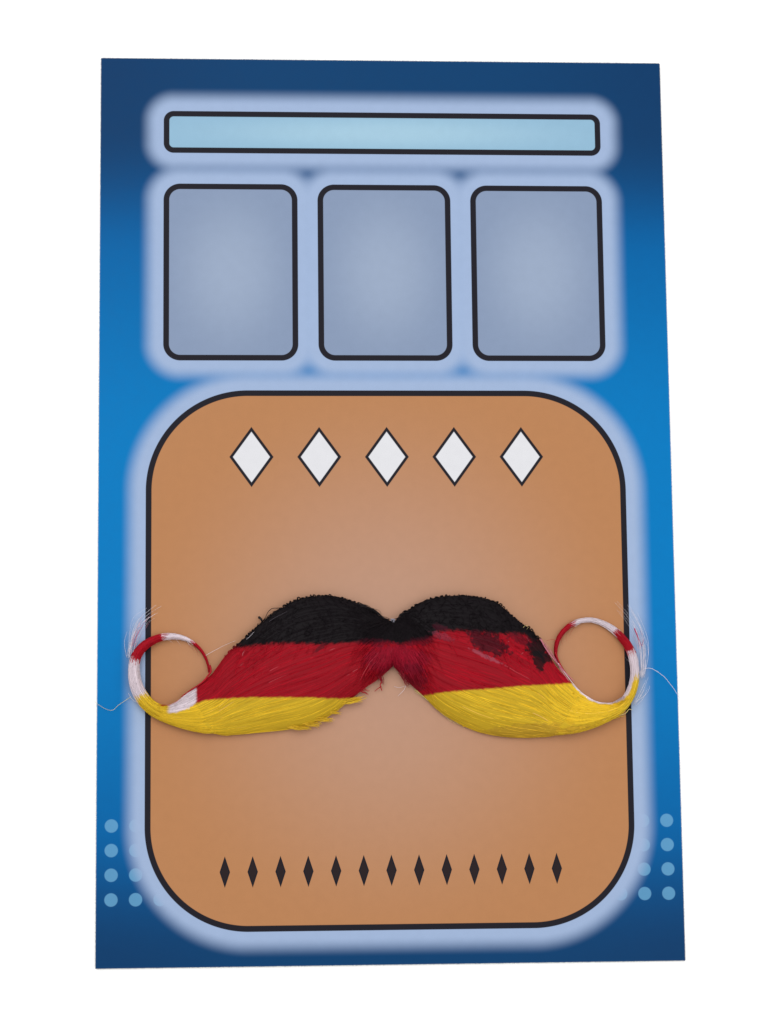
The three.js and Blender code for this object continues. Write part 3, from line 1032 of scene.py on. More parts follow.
@dataclass(frozen=True)
class PrintedCard:
    """White board with a printed face: a blue ground, outlined panels in a pale glow, diamonds and dots."""

    panels: tuple[Panel, ...] = PANELS
    rows: tuple[Diamonds, ...] = ROWS
    foot: Dots = FOOT_DOTS
    outline: Colour = srgb(34, 32, 40)
    glow: Colour = srgb(165, 186, 220)
    paper: Colour = srgb(232, 232, 230)
    fibre: Colour = srgb(206, 204, 198)
    strength: float = 0.8
    relief: float = 0.01
    gloss: float = 0.06

    def build(self) -> bpy.types.Material:
        """Builds the finish.

        Returns:
            The material.
        """
        made, sketch = material("printed_card")
        flat = sketch.scale(sketch.place(), 1 / MM)
        x, y, z = sketch.split(flat)
        card = CardPrint(sketch, x, y, self.outline)
        colour = card.dots(card.ground(), self.foot)
        gaps = [card.gap(panel) for panel in self.panels]
        for gap, panel in zip(gaps, self.panels):
            colour = sketch.mix(sketch.ramp(gap, panel.halo, panel.line), colour, self.glow)
        for gap, panel in zip(gaps, self.panels):
            colour = card.panel(colour, panel, gap)
        for row in self.rows:
            colour = card.diamonds(colour, row)
        mottle, screen = sketch.noise(flat, 0.35, 4.0), sketch.noise(flat, 4.0, 2.0)
        level = sketch.math("ADD", sketch.sway(mottle, 0.06, self.strength), sketch.sway(screen, 0.05))
        printed = card.face(z, screen)
        fibres = sketch.noise(flat, 2.2, 6.0)
        board = sketch.mix(fibres, self.fibre, self.paper)
        rough = sketch.math("MULTIPLY_ADD", printed, -0.28, 0.75)
        rough = sketch.math("ADD", rough, sketch.sway(mottle, 0.12))
        surface(sketch, sketch.mix(printed, board, sketch.scale(colour, level)), rough, fibres,
                self.relief * MM, Specular_IOR_Level=self.gloss)
        return made


@dataclass(frozen=True)
class Backdrop:
    """The plain pale floor."""

    def build(self) -> bpy.types.Material:
        """Builds the finish.

        Returns:
            The material.
        """
        made, sketch = material("pale_floor")
        cloud = sketch.noise(sketch.place(), 3.0, 2.0)
        surface(sketch, sketch.mix(cloud, srgb(250, 250, 250), srgb(255, 255, 255)), 0.9)
        return made


def mesh_object(name: str, points: np.ndarray, faces: Sequence[Sequence[int]],
                edges: Sequence[Sequence[int]] = ()) -> Piece:
    """Makes a smooth mesh object at the origin.

    Args:
        name: The piece's name.
        points: Its points, in metres.
        faces: Corners of each face.
        edges: Ends of each loose edge.

    Returns:
        The object, linked into the scene.
    """
    mesh = bpy.data.meshes.new(name)
    mesh.from_pydata(points.reshape(-1, 3).tolist(), list(edges), list(faces))
    mesh.shade_smooth()
    made = bpy.data.objects.new(name, mesh)
    bpy.context.collection.objects.link(made)
    return made


def grid_faces(rows: int, columns: int, closed: bool) -> np.ndarray:
    """Lists the corners of a grid's faces.

    Args:
        rows: Points along the grid.
        columns: Points across it.
        closed: Whether the last column joins the first.

    Returns:
        Four corners for each face.
    """
    i, j = np.meshgrid(np.arange(rows - 1), np.arange(columns if closed else columns - 1), indexing="ij")
    beside = (j + 1) % columns
    quads = (i * columns + j, i * columns + beside, (i + 1) * columns + beside, (i + 1) * columns + j)
    return np.stack([corner.ravel() for corner in quads], -1)


def flow_grid(along: np.ndarray, across: np.ndarray, rows: int, columns: int) -> np.ndarray:
    """Makes the flow of a grid from its places along and across, spread over every row and column."""
    return np.stack([np.broadcast_to(values, (rows, columns)) for values in (along, across)], -1)


def flow_map(made: Piece, flow: np.ndarray) -> None:
    """Stores each point's place along and across the hair, as a UV map and as an attribute for materials.

    Args:
        made: The piece.
        flow: Along and across for each of its points.
    """
    mesh = made.data
    vertices = np.zeros(len(mesh.loops), int)
    mesh.loops.foreach_get("vertex_index", vertices)
    mesh.uv_layers.new(name="along_across").data.foreach_set("uv", flow[vertices].ravel())
    values = np.hstack([flow, np.zeros((len(flow), 1))])
    mesh.attributes.new(FLOW, "FLOAT_VECTOR", "POINT").data.foreach_set("vector", values.ravel())


def open_sheet(name: str, points: np.ndarray, flow: np.ndarray, mirror: int) -> Piece:
    """Makes the open surface that a coat of strands follows.

    Args:
        name: The sheet's name.
        points: Points by row and column, in metres.
        flow: Along and across by row and column.
        mirror: -1 where the half is mirrored, which turns its faces round.

    Returns:
        The object.
    """
    faces = grid_faces(*points.shape[:2], False)
    made = mesh_object(name, points, (faces[:, ::-1] if mirror > 0 else faces).tolist())
    flow_map(made, flow.reshape(-1, 2))
    return made


def closed_body(name: str, rings: np.ndarray, flow: np.ndarray, mirror: int) -> Piece:
    """Lofts rings of points into one closed body with fanned ends.

    Args:
        name: The piece's name.
        rings: Points by ring and corner, in metres.
        flow: Along and across by ring and corner.
        mirror: -1 where the half is mirrored, which turns its faces round.

    Returns:
        The object.
    """
    count, sides = rings.shape[:2]
    middles = rings[[0, -1]].mean(1)
    points = np.vstack([rings.reshape(-1, 3), middles])
    faces = grid_faces(count, sides, True).tolist()
    last = (count - 1) * sides
    for j in range(sides):
        beside = (j + 1) % sides
        faces.append([beside, j, count * sides])
        faces.append([last + j, last + beside, count * sides + 1])
    if mirror > 0:
        faces = [f[::-1] for f in faces]
    made = mesh_object(name, points, faces)
    flow_map(made, np.vstack([flow.reshape(-1, 2), flow[[0, -1]].mean(1)]))
    return made


def set_inputs(modifier: bpy.types.Modifier, values: dict[str, Any]) -> None:
    """Sets a node modifier's inputs by name, through their identifiers.

    Args:
        modifier: The modifier.
        values: Its inputs by name.
    """
    identifiers = {
        item.name: item.identifier
        for item in modifier.node_group.interface.items_tree
        if item.item_type == "SOCKET" and item.in_out == "INPUT"
    }
    for name, value in values.items():
        modifier[identifiers[name]] = value


def grow(name: str, tree: bpy.types.NodeTree, values: dict[str, Any], base: Piece | None = None) -> Piece:
    """Runs a geometry tree on an object and turns the result into a plain mesh.

    Args:
        name: The piece's name.
        tree: The tree.
        values: Its inputs by name.
        base: The object that the tree starts from, or None for an empty one.

    Returns:
        The piece, without modifiers.
    """
    made = base or mesh_object(name, np.zeros((0, 3)), [])
    modifier = made.modifiers.new("growth", "NODES")
    modifier.node_group = tree
    set_inputs(modifier, values)
    evaluated = made.evaluated_get(bpy.context.evaluated_depsgraph_get())
    mesh = bpy.data.meshes.new_from_object(evaluated)
    made.modifiers.clear()
    made.data = mesh
    return made


def geometry_tree(name: str, **inputs: tuple[str, Any]) -> tuple[NodeSketch, dict[str, Socket]]:
    """Starts a geometry tree with named inputs.

    Args:
        name: The tree's name.
        inputs: Kind of socket and first value of each input, by its name.

    Returns:
        A sketch of the tree, and its inputs' sockets by name.
    """
    tree = bpy.data.node_groups.new(name, "GeometryNodeTree")
    sketch = NodeSketch(tree)
    tree.interface.new_socket("Geometry", in_out="OUTPUT", socket_type="NodeSocketGeometry")
    tree.interface.new_socket("Geometry", in_out="INPUT", socket_type="NodeSocketGeometry")
    for label, (kind, value) in inputs.items():
        socket = tree.interface.new_socket(label, in_out="INPUT", socket_type="NodeSocket" + kind)
        if value is not None:
            socket.default_value = value
    start = tree.nodes.new("NodeGroupInput")
    return sketch, {s.name: s for s in start.outputs if s.name}


def finish_tree(sketch: NodeSketch, mesh: Socket, finish: Socket) -> bpy.types.NodeTree:
    """Ends a geometry tree in Realize Instances, smooth shading and Set Material.

    Args:
        sketch: The tree's nodes.
        mesh: The geometry that it makes.
        finish: Its material.

    Returns:
        The tree.
    """
    mesh = sketch.out("GeometryNodeRealizeInstances", mesh)
    mesh = sketch.out("GeometryNodeSetShadeSmooth", mesh, None, True)
    mesh = sketch.out("GeometryNodeSetMaterial", mesh, None, finish)
    end = sketch.tree.nodes.new("NodeGroupOutput")
    sketch.tree.links.new(mesh, end.inputs[0])
    return sketch.tree


class StrandTree:
    """The tree that lays tapered strands of hair along a surface's flow."""

    def __init__(self) -> None:
        """Builds the tree."""
        self.sketch, self.given = geometry_tree(
            "hair_strands", Surface=("Object", None), Strands=("Int", 1000), Points=("Int", 8),
            From=("Float", 0.0), To=("Float", 1.0), Low=("Float", 0.0), High=("Float", 1.0),
            Length=("Float", 0.3), Drift=("Float", 0.0), Scatter=("Float", 0.0), Clumps=("Float", 30.0),
            Clumping=("Float", 0.7), Wander=("Float", 0.01), Lift=("Float", 0.0004), Width=("Float", 0.0002),
            Flyaway=("Float", 0.0), Frizz=("Float", 0.0), Floor=("Float", 0.0007), Seed=("Int", 1),
            Finish=("Material", None),
        )
        sketch, given = self.sketch, self.given
        line = sketch.out("GeometryNodeCurvePrimitiveLine", (0, 0, 0), (0, 0, 0.01))
        line = sketch.out("GeometryNodeResampleCurve", line, None, given["Points"])
        strands = sketch.out("GeometryNodeDuplicateElements", line, None, given["Strands"], domain="SPLINE")
        self.strand = sketch.out("GeometryNodeCurveOfPoint")
        self.share = sketch.out("GeometryNodeSplineParameter")
        spot = self.spot()
        strands = sketch.out("GeometryNodeSetPosition", strands, None, self.place(spot))
        for name, value, kind in ((TONE, self.chance(0.0, 1.0, 11), "FLOAT"), (FLOW, spot, "FLOAT_VECTOR")):
            strands = sketch.out("GeometryNodeStoreNamedAttribute", strands, None, name, value,
                                 data_type=kind, domain="POINT")
        profile = sketch.out("GeometryNodeCurvePrimitiveCircle", 3, 1.0)
        tubes = sketch.out("GeometryNodeCurveToMesh", strands, profile, self.radius(), True)
        self.tree = finish_tree(sketch, tubes, given["Finish"])

    def chance(self, low: float, high: float, salt: int) -> Socket:
        """Draws one number for each strand.

        Args:
            low: The least.
            high: The most.
            salt: What keeps this draw apart from the others.

        Returns:
            The number.
        """
        seed = self.sketch.math("ADD", self.given["Seed"], float(salt))
        return self.sketch.out("FunctionNodeRandomValue", low, high, self.strand, seed)

    def spot(self) -> Socket:
        """Works out each point's place along and across the surface, drawn together in clumps.

        Returns:
            The place, as a flat vector.
        """
        sketch, given, maths = self.sketch, self.given, self.sketch.math
        length = maths("MULTIPLY", given["Length"], self.chance(0.5, 1.0, 1))
        room = maths("SUBTRACT", maths("SUBTRACT", given["To"], given["From"]), length)
        start = maths("MULTIPLY_ADD", room, self.chance(0.0, 1.0, 2), given["From"])
        run = maths("MULTIPLY", length, self.share)
        along = maths("ADD", start, run)
        breadth = maths("SUBTRACT", given["High"], given["Low"])
        first = maths("MULTIPLY_ADD", breadth, self.chance(0.0, 1.0, 3), given["Low"])
        wave = maths("MULTIPLY", maths("MULTIPLY", first, given["Clumps"]), 2 * math.pi)
        pull = maths("DIVIDE", maths("MULTIPLY", maths("SINE", wave), given["Clumping"]),
                     maths("MULTIPLY", given["Clumps"], 2 * math.pi))
        slope = maths("MULTIPLY_ADD", given["Scatter"], self.chance(-1.0, 1.0, 4), given["Drift"])
        bent = sketch.out("ShaderNodeCombineXYZ", self.chance(0.0, 900.0, 5),
                          maths("MULTIPLY", along, 4.0), 0.0)
        wobble = maths("SUBTRACT", sketch.noise(bent, 1.0, 1.0), 0.5)
        across = maths("ADD", maths("ADD", first, pull), maths("MULTIPLY", slope, run))
        across = maths("MULTIPLY_ADD", wobble, given["Wander"], across)
        margin = SHEET_WRAP - 0.001
        across = sketch.out("ShaderNodeClamp", across, -margin, 1 + margin)
        return sketch.out("ShaderNodeCombineXYZ", along, across, 0.0)

    def place(self, spot: Socket) -> Socket:
        """Places each point over the surface, lifted, frizzed and let fly, and never under the floor.

        Args:
            spot: Places along and across the surface.

        Returns:
            The place.
        """
        sketch, given, maths = self.sketch, self.given, self.sketch.math
        body = sketch.add("GeometryNodeObjectInfo", given["Surface"]).outputs["Geometry"]
        chart = sketch.out("GeometryNodeInputNamedAttribute", "along_across", data_type="FLOAT_VECTOR")
        on_body, outwards = (
            sketch.out("GeometryNodeSampleUVSurface", body, sketch.out(kind), chart, spot,
                       data_type="FLOAT_VECTOR")
            for kind in ("GeometryNodeInputPosition", "GeometryNodeInputNormal")
        )
        raised = sketch.scale(outwards, maths("MULTIPLY", given["Lift"], self.chance(0.05, 1.0, 6)))
        loose = maths("MULTIPLY", given["Flyaway"], maths("POWER", self.chance(0.0, 1.0, 7), 2.0))
        loose = maths("MULTIPLY", loose, maths("POWER", self.share, 1.7))
        heading = sketch.out("ShaderNodeCombineXYZ", *(self.chance(-0.6, 0.6, salt) for salt in (8, 9, 10)))
        stray = sketch.scale(sketch.vector("ADD", outwards, heading), loose)
        spun = sketch.out("ShaderNodeCombineXYZ", self.chance(0.0, 900.0, 13),
                          maths("MULTIPLY", self.share, 2.4), 0.0)
        spun = sketch.add("ShaderNodeTexNoise", spun, 1.0, 1.0).outputs["Color"]
        spun = sketch.vector("SUBTRACT", spun, (0.5, 0.5, 0.5))
        frizz = sketch.scale(spun, maths("MULTIPLY", given["Frizz"], 2.0))
        place = sketch.vector("ADD", sketch.vector("ADD", on_body, raised),
                              sketch.vector("ADD", stray, frizz))
        x, y, z = sketch.split(place)
        return sketch.out("ShaderNodeCombineXYZ", x, y, maths("MAXIMUM", z, given["Floor"]))

    def radius(self) -> Socket:
        """Tapers each strand to both its ends.

        Returns:
            The radius.
        """
        maths = self.sketch.math
        ends = maths("MULTIPLY", maths("MULTIPLY", self.share, maths("SUBTRACT", 1.0, self.share)), 4.0)
        taper = maths("ADD", maths("POWER", ends, 0.35), 0.12)
        radius = maths("MULTIPLY", maths("MULTIPLY", self.given["Width"], 0.5), self.chance(0.65, 1.2, 12))
        return maths("MULTIPLY", radius, taper)


def tube_tree() -> bpy.types.NodeTree:
    """Builds the tree that turns lines into single tapered hairs of their own thickness.

    Returns:
        The tree.
    """
    sketch, given = geometry_tree(
        "single_hairs", Taper=("Float", 0.5), Sides=("Int", 5), Finish=("Material", None),
    )
    lines = sketch.out("GeometryNodeMeshToCurve", given["Geometry"])
    share = sketch.out("GeometryNodeSplineParameter")
    width = sketch.out("GeometryNodeInputNamedAttribute", THICKNESS, data_type="FLOAT")
    lost = sketch.math("MULTIPLY", share, sketch.math("MULTIPLY", given["Taper"], 0.5))
    radius = sketch.math("MULTIPLY", width, sketch.math("SUBTRACT", 0.5, lost))
    profile = sketch.out("GeometryNodeCurvePrimitiveCircle", given["Sides"], 1.0)
    tubes = sketch.out("GeometryNodeCurveToMesh", lines, profile, radius, True)
    return finish_tree(sketch, tubes, given["Finish"])


def knot_tree() -> bpy.types.NodeTree:
    """Builds the tree that ties small loops of thread at each pitch along a line.

    Returns:
        The tree.
    """
    sketch, given = geometry_tree(
        "edging_knots", Pitch=("Float", 0.0012), Loop=("Float", 0.0004), Thread=("Float", 0.00022),
        Jitter=("Float", 0.00025), Seed=("Int", 1), Finish=("Material", None),
    )

    def chance(low: Any, high: Any, salt: float, **settings: Any) -> Socket:
        """Draws one number or vector for each knot."""
        seed = sketch.math("ADD", given["Seed"], salt)
        return sketch.out("FunctionNodeRandomValue", low, high, None, seed, **settings)

    line = sketch.out("GeometryNodeMeshToCurve", given["Geometry"])
    spots = sketch.add("GeometryNodeCurveToPoints", line, mode="LENGTH")
    sketch.feed(spots.inputs["Length"], given["Pitch"])
    ring = sketch.out("GeometryNodeCurvePrimitiveCircle", 10, 1.0)
    x, y, _ = sketch.split(sketch.out("GeometryNodeInputPosition"))
    saddle = sketch.math("MULTIPLY", sketch.math("MULTIPLY", x, y), 1.2)
    ring = sketch.out("GeometryNodeSetPosition", ring, None, None,
                      sketch.out("ShaderNodeCombineXYZ", 0.0, 0.0, saddle))
    wire = sketch.out("GeometryNodeCurvePrimitiveCircle", 5, 0.42)
    loop = sketch.out("GeometryNodeCurveToMesh", ring, wire, 1.0, False)
    shift = chance((-1.0, -1.0, -1.0), (1.0, 1.0, 1.0), 1.0, data_type="FLOAT_VECTOR")
    points = sketch.out("GeometryNodeSetPosition", spots.outputs["Points"], None, None,
                        sketch.scale(shift, given["Jitter"]))
    turn = chance((0.0, 0.0, 0.0), (1.1, 1.1, 6.28), 2.0, data_type="FLOAT_VECTOR")
    size = sketch.math("MULTIPLY", chance(0.7, 1.15, 3.0), given["Loop"])
    knots = sketch.out("GeometryNodeInstanceOnPoints", points, None, loop, None, None, turn, size)
    cord = sketch.out("GeometryNodeCurvePrimitiveCircle", 6, 1.0)
    cord = sketch.out("GeometryNodeCurveToMesh", line, cord, given["Thread"], True)
    join = sketch.add("GeometryNodeJoinGeometry")
    for piece in (knots, cord):
        sketch.tree.links.new(piece, join.inputs[0])
    return finish_tree(sketch, join.outputs[0], given["Finish"])


class Trees:
    """The geometry trees, each built once."""

    def __init__(self) -> None:
        """Builds them."""
        self.strands = StrandTree().tree
        self.tubes = tube_tree()
        self.knots = knot_tree()


def keep(piece: Piece, slot: str, *nodes: str) -> None:
    """Makes a finished piece part of the object.

    Args:
        piece: The piece.
        slot: Not used.
        nodes: The solids that it stands for.
    """
    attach(piece, BODY)
    if nodes:
        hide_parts(*nodes)
    triangles = sum(len(p.vertices) - 2 for p in piece.data.polygons)
    log.info("%s: %d triangles", piece.name, triangles)


@dataclass
class Coat:
    """One coat of strands over a surface, as inputs of the strand tree.

    Places, length and drift are shares of the surface, and lift, width, flyaway and frizz are in millimetres.
    """

    strands: int
    length: float
    start: float = 0.0
    stop: float = 1.0
    low: float = 0.0
    high: float = 1.0
    points: int = 8
    drift: float = 0.0
    scatter: float = 0.05
    clumps: float = 34.0
    clumping: float = 0.75
    wander: float = 0.012
    lift: float = 0.45
    width: float = 0.24
    flyaway: float = 0.0
    frizz: float = 0.0
    seed: int = 1

    def lay(self, name: str, trees: Trees, sheet: Piece, finish: bpy.types.Material) -> Piece:
        """Lays the coat.

        Args:
            name: The piece's name.
            trees: The geometry trees.
            sheet: The surface whose flow the strands follow.
            finish: Their material.

        Returns:
            The strands.
        """
        return grow(name, trees.strands, {
            "Surface": sheet, "Strands": self.strands, "Points": self.points, "From": self.start,
            "To": self.stop, "Low": self.low, "High": self.high, "Length": self.length,
            "Drift": self.drift, "Scatter": self.scatter, "Clumps": self.clumps, "Clumping": self.clumping,
            "Wander": self.wander, "Lift": self.lift * MM, "Width": self.width * MM,
            "Flyaway": self.flyaway * MM, "Frizz": self.frizz * MM, "Seed": self.seed, "Finish": finish,
        })


@dataclass
class Wing:
    """The hair of one wing: a dense body of locks under coats of loose strands."""

    side: Side
    trees: Trees
    rows: int = 120
    columns: int = 132
    fibre_waves: tuple[int, ...] = (19, 31, 47, 63)
    fibre_relief: float = 0.1
    sheet_rows: int = 60
    sheet_columns: int = 90
    wrist_rows: int = 14
    wrist_span: float = 0.3
    overrun: float = 0.2
    overhang: float = 0.004
    tuck: float = 0.7

    def build(self) -> None:
        """Builds and dresses the wing's pieces."""
        name = self.side.name
        core = self.core()
        # Painted shade: the body of locks is a darker copy of the hair, as it shows in the gaps between
        # strands
        core.data.materials.append(DyedHair(self.side, Zone.WING, 0.6, 0.85).build())
        keep(core, "hair", f"{name}_wing")
        smooth = DyedHair(self.side, Zone.WING).build()
        matted = DyedHair(self.side, Zone.WING, 0.7, streaks=0.12).build()
        sheet = self.sheet()
        for layer, coat in self.coats().items():
            finish = matted if layer in ("felted", "fuzz") else smooth
            keep(coat.lay(f"{name}_wing_{layer}_hair", self.trees, sheet, finish), "hair")
        bpy.data.objects.remove(sheet)

    def coats(self) -> dict[str, Coat]:
        """Lists the wing's coats, from the hair combed along it to single loose hairs.

        Returns:
            The coats by name.
        """
        seed, over = self.side.seed, 1 + self.overrun
        return {
            "combed": Coat(
                strands=4200, length=0.3, stop=over, low=-0.03, high=1.04, points=6, drift=0.1, scatter=0.09,
                clumps=60, clumping=0.35, lift=0.4, width=0.25, seed=seed),
            "gathered": Coat(
                strands=900, length=0.3, start=0.84, stop=over, low=-0.02, high=1.03, points=7, drift=0.03,
                scatter=0.06, clumps=20, clumping=0.3, lift=0.35, width=0.2, seed=seed + 20),
            "felted": Coat(
                strands=4300, length=0.062, stop=0.78, low=-0.04, high=0.36, points=5, drift=0.4, scatter=3.4,
                clumping=0.0, lift=1.0, width=0.24, frizz=1.3, seed=seed + 40),
            "fuzz": Coat(
                strands=1700, length=0.03, stop=0.8, low=-0.049, high=0.01, points=4, scatter=1.6, lift=1.3,
                width=0.28, frizz=0.8, seed=seed + 60),
            "ragged": Coat(
                strands=120, length=0.06, start=0.15, stop=0.55, low=0.98, high=1.045, points=5, drift=0.2,
                scatter=0.3, lift=1.5, width=0.22, frizz=0.5, seed=seed + 70),
            "loose": Coat(
                strands=180, length=0.16, stop=1.1, low=-0.04, high=1.04, points=7, scatter=0.8, lift=0.6,
                width=0.1, flyaway=2.2, frizz=0.4, seed=seed + 80),
        }

    def core(self) -> Piece:
        """Makes the closed body of locks, with fine ridges that follow the hair.

        Returns:
            The body.
        """
        along, across = np.linspace(0, 1, self.rows), np.linspace(0, 1, self.columns)
        flat, height = self.side.wing_skin(along, across)
        ridges = self.fibres(along[:, None], across[None])
        upper = self.side.place(flat, height + ridges * np.minimum(1, 12 * across * (1 - across)))
        top, bottom, _ = self.side.wing_rib(along)
        width = np.linalg.norm(bottom - top, axis=-1)[:, None]
        seat = np.where(along < NET_SPAN_SHARE, NET_TOP, WRIST_FLOOR)
        under = [
            self.side.place(bottom + (top - bottom) * (inset / width), level)
            for inset, level in ((0.0, HAIR_FLOOR), (ROLL_WIDTH, HAIR_FLOOR), (ROLL_WIDTH + ROLL_WALL, seat))
        ]
        under.append(self.side.place(top, seat))
        rings = np.concatenate([upper, np.stack(under, 1)], 1)
        around = np.append(across, (1.02, 0.95, 0.9, 0.02))
        flow = flow_grid(along[:, None], around, *rings.shape[:2])
        return closed_body(f"{self.side.name}_wing_locks", rings, flow, self.side.mirror)

    def fibres(self, along: np.ndarray, across: np.ndarray) -> np.ndarray:
        """Raises fine ridges that wander a little as they run along the hair.

        Args:
            along: Places along the wing.
            across: Places across it.

        Returns:
            Heights of the ridges.
        """
        draw = np.random.default_rng(self.side.seed)
        relief = 0
        for waves in self.fibre_waves:
            phase, bend, slow = draw.uniform(0, 2 * np.pi), draw.uniform(1, 3), draw.uniform(2, 7)
            relief = relief + np.sin(2 * np.pi * waves * across + phase + bend * np.sin(slow * along + phase))
        return self.fibre_relief * relief / 2

    def sheet(self) -> Piece:
        """Makes the surface that strands follow, from the parting over the wrist into the curl.

        Returns:
            The surface, turned down past both edges.
        """
        side = self.side
        along = np.linspace(0, 1, self.sheet_rows)
        across = np.linspace(-SHEET_WRAP, 1 + SHEET_WRAP, self.sheet_columns)
        inside = np.clip(across, 0, 1)
        past = (across - inside) / SHEET_WRAP
        flat, height = side.wing_skin(along, inside, self.overhang * np.sign(past))
        wing = side.place(flat, height - np.abs(past) * (height - HAIR_FLOOR - CONTACT_GAP))
        beyond = np.linspace(0.02, self.wrist_span, self.wrist_rows)
        curl = side.curl_skin(beyond, np.arccos(1 - 2 * inside) + past * self.tuck)
        points = np.concatenate([wing, curl])
        further = 1 + beyond / self.wrist_span * (self.overrun + 0.02)
        flow = flow_grid(np.append(along, further)[:, None], across, *points.shape[:2])
        return open_sheet(f"{side.name}_flow", points, flow, side.mirror)


@dataclass
class Curl:
    """One curl: a twisted hank of hair under loose strands, with a thin tip."""

    side: Side
    trees: Trees
    rows: int = 150
    columns: int = 40
    flute: float = 0.035
    flutes: int = 9
    twist: float = 1.6
    rooting: float = 3.0
    root_share: float = 0.9
    sheet_columns: int = 76
    wrap: float = 0.3

    def build(self) -> None:
        """Builds and dresses the curl's pieces."""
        name = self.side.name
        core = self.core()
        # Painted shade: the hank is a darker copy of the hair, as it shows in the gaps between strands
        core.data.materials.append(DyedHair(self.side, Zone.CURL, 0.5, 0.95).build())
        keep(core, "hair", f"{name}_curl")
        finish = DyedHair(self.side, Zone.CURL, 0.5).build()
        sheet = self.sheet()
        for layer, coat in self.coats().items():
            keep(coat.lay(f"{name}_curl_{layer}_hair", self.trees, sheet, finish), "hair")
        bpy.data.objects.remove(sheet)

    def coats(self) -> dict[str, Coat]:
        """Lists the curl's coats.

        Returns:
            The coats by name.
        """
        seed = self.side.seed + 200
        return {
            "combed": Coat(
                strands=1150, length=0.3, stop=0.985, points=9, drift=0.12, scatter=0.1, clumps=12,
                clumping=0.5, wander=0.05, lift=0.24, width=0.19, seed=seed),
            "loose": Coat(
                strands=70, length=0.16, start=0.1, stop=0.9, low=0.42, high=0.6, points=9, scatter=0.3,
                wander=0.2, lift=0.2, width=0.08, flyaway=3.0, frizz=0.4, seed=seed + 5),
        }

    def core(self) -> Piece:
        """Makes the closed, fluted body of the curl, rooted in the wing's wrist.

        Returns:
            The body.
        """
        along = np.linspace(0, 1, self.rows)
        angle = np.linspace(0, 2 * np.pi, self.columns, endpoint=False)[None]
        swell = 1 - self.flute + self.flute * np.sin(self.flutes * (angle + self.twist * along[:, None]))
        rings = self.side.curl_skin(along, angle, swell)
        root = rings[0] + (rings[0] - rings[1]) * self.rooting
        middle = root.mean(0)
        rings = np.concatenate([(middle + (root - middle) * self.root_share)[None], rings])
        flow = flow_grid(np.append(0, along)[:, None], angle / (2 * np.pi), *rings.shape[:2])
        return closed_body(f"{self.side.name}_curl_hank", rings, flow, self.side.mirror)

    def sheet(self) -> Piece:
        """Makes the surface that the curl's strands follow, wrapped a little past once round.

        Returns:
            The surface.
        """
        along = np.linspace(0, 1, self.rows)
        turn = np.linspace(-self.wrap, 1 + self.wrap, self.sheet_columns)
        points = self.side.curl_skin(along, 2 * np.pi * turn[None])
        flow = flow_grid(along[:, None], turn, *points.shape[:2])
        return open_sheet(f"{self.side.name}_curl_flow", points, flow, self.side.mirror)


@dataclass
class Edging:
    """The row of small dark knots along a wing's upper edge. Its sizes are in millimetres."""

    side: Side
    trees: Trees
    pitch: float = 1.15
    inset: float = 0.3
    loop: float = 0.46
    thread: float = 0.2
    jitter: float = 0.2
    steps: int = 90

    def build(self) -> None:
        """Builds and dresses the edging."""
        along = np.linspace(*EDGING_SPAN, self.steps)
        path = self.side.top_edge(along, np.full(self.steps, self.inset))
        height = NET_TOP + CONTACT_GAP + EDGING_DIAMETER / 2
        points = self.side.place(path, np.full(self.steps, height))
        line = mesh_object(f"{self.side.name}_edging_knots", points, [],
                           [(i, i + 1) for i in range(self.steps - 1)])
        knots = grow(line.name, self.trees.knots, {
            "Pitch": self.pitch * MM, "Loop": self.loop * MM, "Thread": self.thread * MM,
            "Jitter": self.jitter * MM, "Seed": self.side.seed,
            "Finish": DyedHair(self.side, Zone.WING, 0.7, 0.75, 0.12).build(),
        }, line)
        keep(knots, "edging", f"{self.side.name}_edging")


@dataclass
class Parting:
    """Short hair that falls from the top of the parting and turns out over both wings."""

    trees: Trees
    reach: float = 0.28
    steps: int = 24
    clearance: float = 0.05
    drift: float = 0.22
    seed: int = 301

    def build(self) -> None:
        """Builds and dresses the hair over the parting."""
        sheet = self.sheet()
        finish = DyedHair(RIGHT, Zone.WING).build()
        for side, low, seed in ((LEFT, 0.34, self.seed), (RIGHT, 0.46, self.seed + 1)):
            coat = Coat(strands=1150, length=0.48, low=low, high=low + 0.2, points=6,
                        drift=side.mirror * self.drift, scatter=0.7, clumps=14, clumping=0.0, wander=0.06,
                        lift=0.36, width=0.2, frizz=0.7, seed=seed)
            keep(coat.lay(f"{side.name}_parting_hair", self.trees, sheet, finish), "hair")
        bpy.data.objects.remove(sheet)

    def sheet(self) -> Piece:
        """Makes the surface that this hair follows, from one wing's first ribs across to the other's.

        Returns:
            The surface.
        """
        across = np.linspace(0, 1, self.steps)
        columns = []
        for side, along in ((LEFT, np.linspace(self.reach, 0, self.steps)),
                            (RIGHT, np.linspace(0, self.reach, self.steps))):
            flat, height = side.wing_skin(along, across)
            columns.append(side.place(flat, height + self.clearance))
        points = np.swapaxes(np.concatenate(columns), 0, 1)
        turn = np.linspace(-SHEET_WRAP, 1 + SHEET_WRAP, 2 * self.steps)
        flow = flow_grid(across[:, None], turn, *points.shape[:2])
        return open_sheet("parting_flow", points, flow, 1)


class Stray(Enum):
    """Colours of single stray hairs."""

    WHITE = srgb(222, 216, 224)
    BLACK = srgb(20, 16, 20)
    RED = srgb(165, 12, 30)
    PINK = srgb(204, 120, 140)
    GOLD = srgb(214, 196, 130)
    MAGENTA = srgb(176, 40, 96)
    YELLOW = srgb(216, 176, 42)
    MAROON = srgb(132, 12, 34)
    GREY = srgb(70, 66, 74)


@dataclass(frozen=True)
class StrayHair:
    """One stray hair: colour, thickness, height and the points it passes, in millimetres on the card."""

    colour: Stray
    width: float
    height: float
    points: tuple[Spot, ...]


